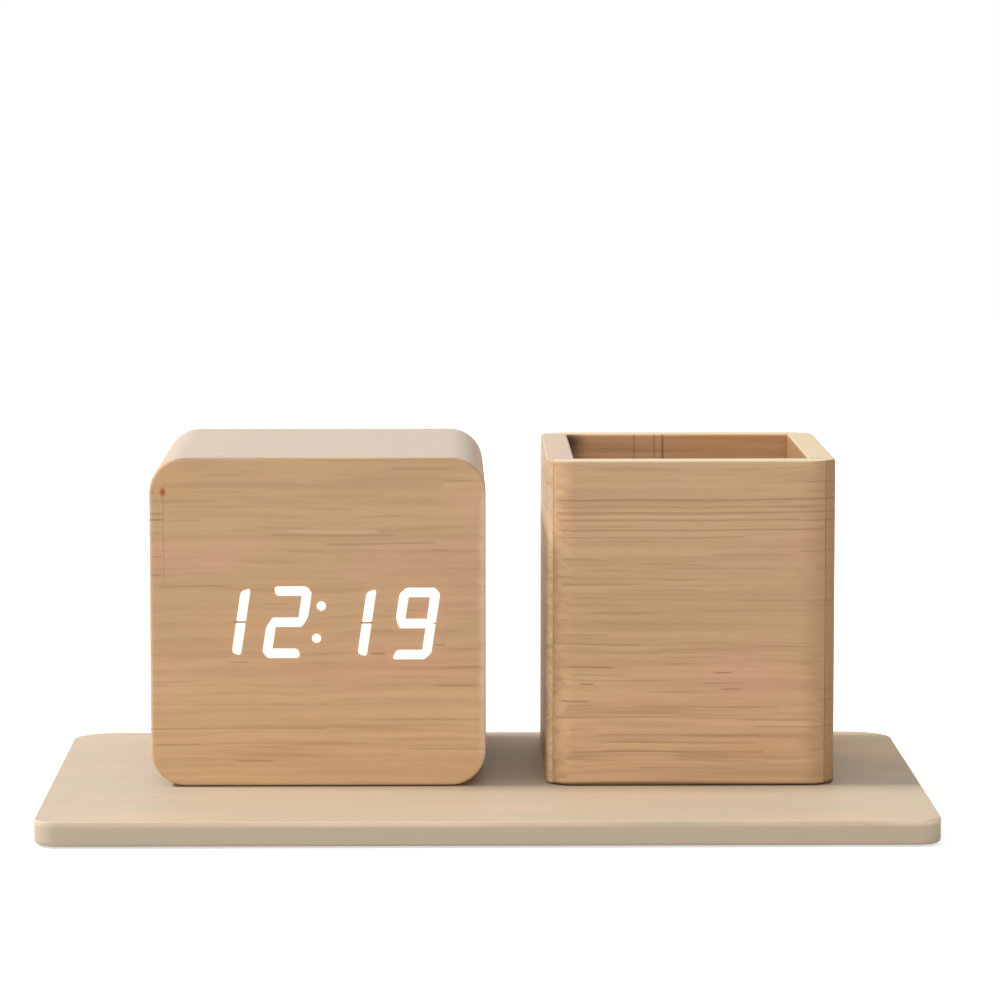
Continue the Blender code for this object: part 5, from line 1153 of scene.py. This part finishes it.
jack = {
    "body": 6.2 * mm, "bodyCorner": 0.4 * mm, "shoulder": 2.7 * mm, "nose": 2.9 * mm, "noseEase": 0.2 * mm,
    "mouth": 0.4 * mm, "mouthEase": 0.3 * mm, "bore": 1.85 * mm, "boreEnd": 6.6 * mm,
    "pin": [(0.5 * mm, 1.6 * mm), (0.62 * mm, 1.7 * mm), (0.65 * mm, 1.9 * mm), (0.65 * mm, 6.8 * mm)],
}


def makeJack():
    # Square body, round nose with an eased mouth, and the bore. Circles keep the square's directions.
    place = cover["middle"] + (cover["jackPlace"], 0, cover["controlLine"])
    square = roundedOutline(jack["body"], jack["body"], jack["bodyCorner"], 4, 9)
    back = cover["middle"][1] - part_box("power_jack")[0].y

    def ring(radius, reach):
        return onFace(circleLike(square, radius), -reach) + place
    rings = [onFace(square, -reach) + place for reach in (back, jack["shoulder"])]
    rings += [ring(jack["nose"], jack["shoulder"])]
    rings += [ring(jack["nose"] - inset, jack["mouth"] + drop)
              for inset, drop in easeArc(jack["noseEase"], 4)[::-1]]
    rings += [ring(jack["bore"] + inset, jack["mouth"] + drop)
              for inset, drop in easeArc(jack["mouthEase"], 4)]
    rings += [ring(jack["bore"], jack["boreEnd"])]
    return shell(rings, "flat", "flat"), lathe(jack["pin"], place, 24, "inward")


jackBody, jackPin = makeJack()
piece("powerSocket", [jackBody], "stand", "chip_plastic", ["power_jack"])
piece("powerSocketPin", [jackPin], "stand", "plated_steel")


# Cells and their springs in the battery bay

cells = {
    "radius": 5.25 * mm, "length": 44.5 * mm, "axisY": 41.95 * mm, "reach": 24 * mm,
    "heights": (43.2 * mm, 32.3 * mm, 21.4 * mm), "nubHeight": 0.8 * mm, "ease": 0.6 * mm,
    "foot": [(0.4 * mm, 0.12 * mm), (3.4 * mm, 0.12 * mm), (3.7 * mm, 0)],
    # Radius and place past the shoulder
    "nub": [(3.9 * mm, 0), (3.7 * mm, -0.15 * mm), (2.3 * mm, -0.15 * mm), (1.95 * mm, 0.1 * mm),
            (1.9 * mm, 0.6 * mm), (1.6 * mm, 0.8 * mm), (0.3 * mm, 0.8 * mm)],
    "blue": (0.035, 0.085, 0.190), "band": (0.46, 0.44, 0.40), "stripe": (0.62, 0.60, 0.54),
    "dull": (0.3, 0.3, 0.3), "bare": (0.72, 0.71, 0.68),
}
spring = {
    "start": 23.7 * mm, "length": 2.3 * mm, "turns": 2.5, "wide": 3.6 * mm, "narrowing": 1.6 * mm,
    "wire": 0.3 * mm, "steps": 121, "wireSteps": 12,
}


def cellProfile():
    radius, end = cells["radius"], cells["length"] - cells["nubHeight"]
    edge = easeArc(cells["ease"], 4)
    low = [(radius - inset, drop) for inset, drop in edge]
    high = [(radius - inset, end - drop) for inset, drop in edge[::-1]]
    return np.array(cells["foot"] + low + high + [(radius, end + past) for radius, past in cells["nub"]])


def cellFinish():
    # Foil wrap with a paler band by the nub, told by the share along the cell. Both ends are bare metal,
    # told by the share out from the axis.
    material, tree, shader, place = newFinish("cellWrap")
    along = add(tree, "Attribute", attribute_name="along").outputs["Fac"]
    out = add(tree, "Attribute", attribute_name="out").outputs["Fac"]
    wrap = blend(tree, ramp(tree, along, 0.755, 0.76), cells["blue"], cells["band"])
    line = maths(tree, "MULTIPLY", ramp(tree, along, 0.735, 0.738), ramp(tree, along, 0.748, 0.751, 1.0, 0.0))
    wrap = blend(tree, line, wrap, cells["stripe"])
    grain = useGroup(tree, mouldedGrain, Vector=place, Grain=2400.0)
    wrap = blend(tree, maths(tree, "MULTIPLY", grain["Patches"], 0.06), wrap, cells["dull"])
    bare = maths(tree, "SUBTRACT", 1.0, ramp(tree, out, 0.80, 0.84))
    tree.links.new(blend(tree, bare, wrap, cells["bare"]), shader.inputs["Base Color"])
    tree.links.new(ramp(tree, bare, 0.0, 1.0, 0.25, 1.0), shader.inputs["Metallic"])
    tree.links.new(ramp(tree, grain["Patches"], 0.0, 1.0, 0.26, 0.34, False), shader.inputs["Roughness"])
    bump(tree, shader, grain["Height"], 0.002 * mm, 0.15)
    return material


def springTube(row):
    # A circle of wire carried along a cone-shaped coil, whose radius falls evenly as the angle grows
    way = -1 if row % 2 == 0 else 1
    share = np.linspace(0, 1, spring["steps"])
    angle = 2 * math.pi * spring["turns"] * share
    radius = spring["wide"] - spring["narrowing"] * share
    along = way * (spring["start"] - spring["length"] * share)
    path = np.stack([along, radius * np.cos(angle), radius * np.sin(angle)], axis=1)
    tangent = np.gradient(path, axis=0)
    tangent /= np.linalg.norm(tangent, axis=1, keepdims=True)
    outwards = np.stack([np.zeros_like(angle), np.cos(angle), np.sin(angle)], axis=1)
    outwards -= tangent * (outwards * tangent).sum(axis=1, keepdims=True)
    outwards /= np.linalg.norm(outwards, axis=1, keepdims=True)
    aside = np.cross(tangent, outwards)
    around = np.linspace(0, 2 * math.pi, spring["wireSteps"], endpoint=False)[None, :, None]
    circle = np.cos(around) * outwards[:, None] + np.sin(around) * aside[:, None]
    middle = np.array([cover["middle"][0], cells["axisY"], cells["heights"][row]])
    return shell(path[:, None] + spring["wire"] * circle + middle, "fan", "fan")


wrapFinish = cellFinish()
for row, height in enumerate(cells["heights"]):
    way = 1 if row % 2 == 0 else -1
    nubEnd = cover["middle"][0] + way * cells["reach"]
    profile = [(radius, nubEnd + way * (reach - cells["length"])) for radius, reach in cellProfile()]
    made = lathe(profile, (0, cells["axisY"], height), 48, "along")
    cell = piece(f"cell{row + 1}", [made], "stand", "cell_wrap", [f"battery_cell_{row + 1}"], wrapFinish)
    paint(cell, "along", lambda points: (points[:, 0] - nubEnd) * way / cells["length"] + 1)
    paint(cell, "out", lambda points: np.hypot(
        points[:, 1] - cells["axisY"], points[:, 2] - height) / cells["radius"])
    piece(f"cellSpring{row + 1}", [springTube(row)], "stand", "plated_steel", [f"contact_spring_{row + 1}"])
print("back and battery bay built")


# Floor, light and camera

stage = {
    "floorSize": 3.0, "floorSteps": 9, "floorLevel": -0.02 * mm, "floorTone": (0.80, 0.80, 0.80),
    "floorMottle": 0.985, "floorLift": (0.60, 0.85), "liftReach": (0.14, 0.45),
    "skyLevel": 0.72, "skyLeft": 1.25, "skyRight": 0.55, "skyTint": (1.0, 0.985, 0.96),
    "keyPower": 55.0, "keySize": 0.46, "keyReach": 2.5, "keyAzimuth": 1.0, "keyHeight": 45.0,
    "keyTarget": (0, 0.0175, 0.03), "keyTone": (1.0, 0.985, 0.96),
    "fillPower": 3.6, "fillSize": 0.9, "fillPlace": (0.0, -1.3, 0.25), "fillTarget": (0, 0, 0.03),
    "cameraPlace": (-0.009468, -0.912909, 0.155293), "cameraPitch": 5.9331, "cameraYaw": 0.7807,
    "lens": 165.82, "sensor": 36.0,
}


def lookedAt(tree):
    # One for camera, mirror and see-through rays, which see the white room
    path = add(tree, "LightPath").outputs
    seen = maths(tree, "ADD", path["Is Camera Ray"], path["Is Glossy Ray"])
    made = add(tree, "Math", operation="ADD", use_clamp=True)
    tree.links.new(seen, made.inputs[0])
    tree.links.new(path["Is Transmission Ray"], made.inputs[1])
    return made.outputs[0]


def makeFloor():
    half, steps = stage["floorSize"] / 2, stage["floorSteps"]
    grid = np.linspace(-half, half, steps)
    x, y = np.meshgrid(grid, grid)
    level = np.full(steps ** 2, stage["floorLevel"])
    data = bpy.data.meshes.new("floor")
    index = np.arange(steps ** 2).reshape(steps, steps)
    quads = np.stack([index[:-1, :-1], index[:-1, 1:], index[1:, 1:], index[1:, :-1]], axis=-1).reshape(-1, 4)
    data.from_pydata(np.column_stack([x.ravel(), y.ravel(), level]).tolist(), [], quads.tolist())
    floor = addObject("floor", data)
    material, tree, shader, place = newFinish("paleFloor", Roughness=0.9)
    mottle = noise(tree, place, (6, 6, 6))
    tone = stage["floorTone"]
    duller = tuple(value * stage["floorMottle"] for value in tone)
    tree.links.new(blend(tree, mottle, tone, duller), shader.inputs["Base Color"])
    shader.inputs["Specular IOR Level"].default_value = 0.0
    near, far = stage["liftReach"]
    low, high = stage["floorLift"]
    lift = ramp(tree, vectorMaths(tree, "LENGTH", place, (0, 0, 0)), near, far, low, high)
    shine(tree, shader, maths(tree, "MULTIPLY", lift, lookedAt(tree)))
    data.materials.append(material)


def makeWorld():
    world = bpy.data.worlds.new("whiteRoom")
    bpy.context.scene.world = world
    world.use_nodes = True
    tree = world.node_tree
    tree.nodes.clear()
    # The room is lit most from the left: the sky falls off with the X part of the direction
    sky = add(tree, "Background")
    feed(tree, stage["skyTint"], sky.inputs["Color"])
    across = split(tree, add(tree, "TexCoord").outputs["Object"])[0]
    left, right = stage["skyLevel"] * stage["skyLeft"], stage["skyLevel"] * stage["skyRight"]
    tree.links.new(ramp(tree, across, -1.0, 1.0, left, right, False), sky.inputs["Strength"])
    white = add(tree, "Background")
    white.inputs["Color"].default_value = (1, 1, 1, 1)
    white.inputs["Strength"].default_value = 1.0
    mixed = add(tree, "MixShader")
    tree.links.new(lookedAt(tree), mixed.inputs[0])
    tree.links.new(sky.outputs[0], mixed.inputs[1])
    tree.links.new(white.outputs[0], mixed.inputs[2])
    tree.links.new(mixed.outputs[0], add(tree, "OutputWorld").inputs["Surface"])


def areaLight(name, place, target, size, power, tone):
    lamp = bpy.data.lights.new(name, "AREA")
    lamp.shape = "DISK"
    lamp.size = size
    lamp.energy = power
    lamp.color = tone
    made = addObject(name, lamp)
    made.location = place
    made.rotation_euler = (Vector(target) - Vector(place)).to_track_quat("-Z", "Y").to_euler()


makeFloor()
makeWorld()
height, azimuth = math.radians(stage["keyHeight"]), math.radians(stage["keyAzimuth"])
keyPlace = stage["keyReach"] * np.array(
    [-math.cos(height) * math.cos(azimuth), math.cos(height) * math.sin(azimuth), math.sin(height)])
areaLight("key", keyPlace, stage["keyTarget"], stage["keySize"], stage["keyPower"], stage["keyTone"])
areaLight(
    "fill", stage["fillPlace"], stage["fillTarget"], stage["fillSize"], stage["fillPower"], (1.0, 1.0, 1.0))

lensData = bpy.data.cameras.new("photoCamera")
lensData.sensor_width = stage["sensor"]
lensData.lens = stage["lens"]
camera = addObject("photoCamera", lensData)
camera.location = stage["cameraPlace"]
camera.rotation_euler = (math.radians(90 - stage["cameraPitch"]), 0, math.radians(-stage["cameraYaw"]))
bpy.context.scene.camera = camera
bpy.context.scene.view_settings.view_transform = "Standard"
print("stage built")
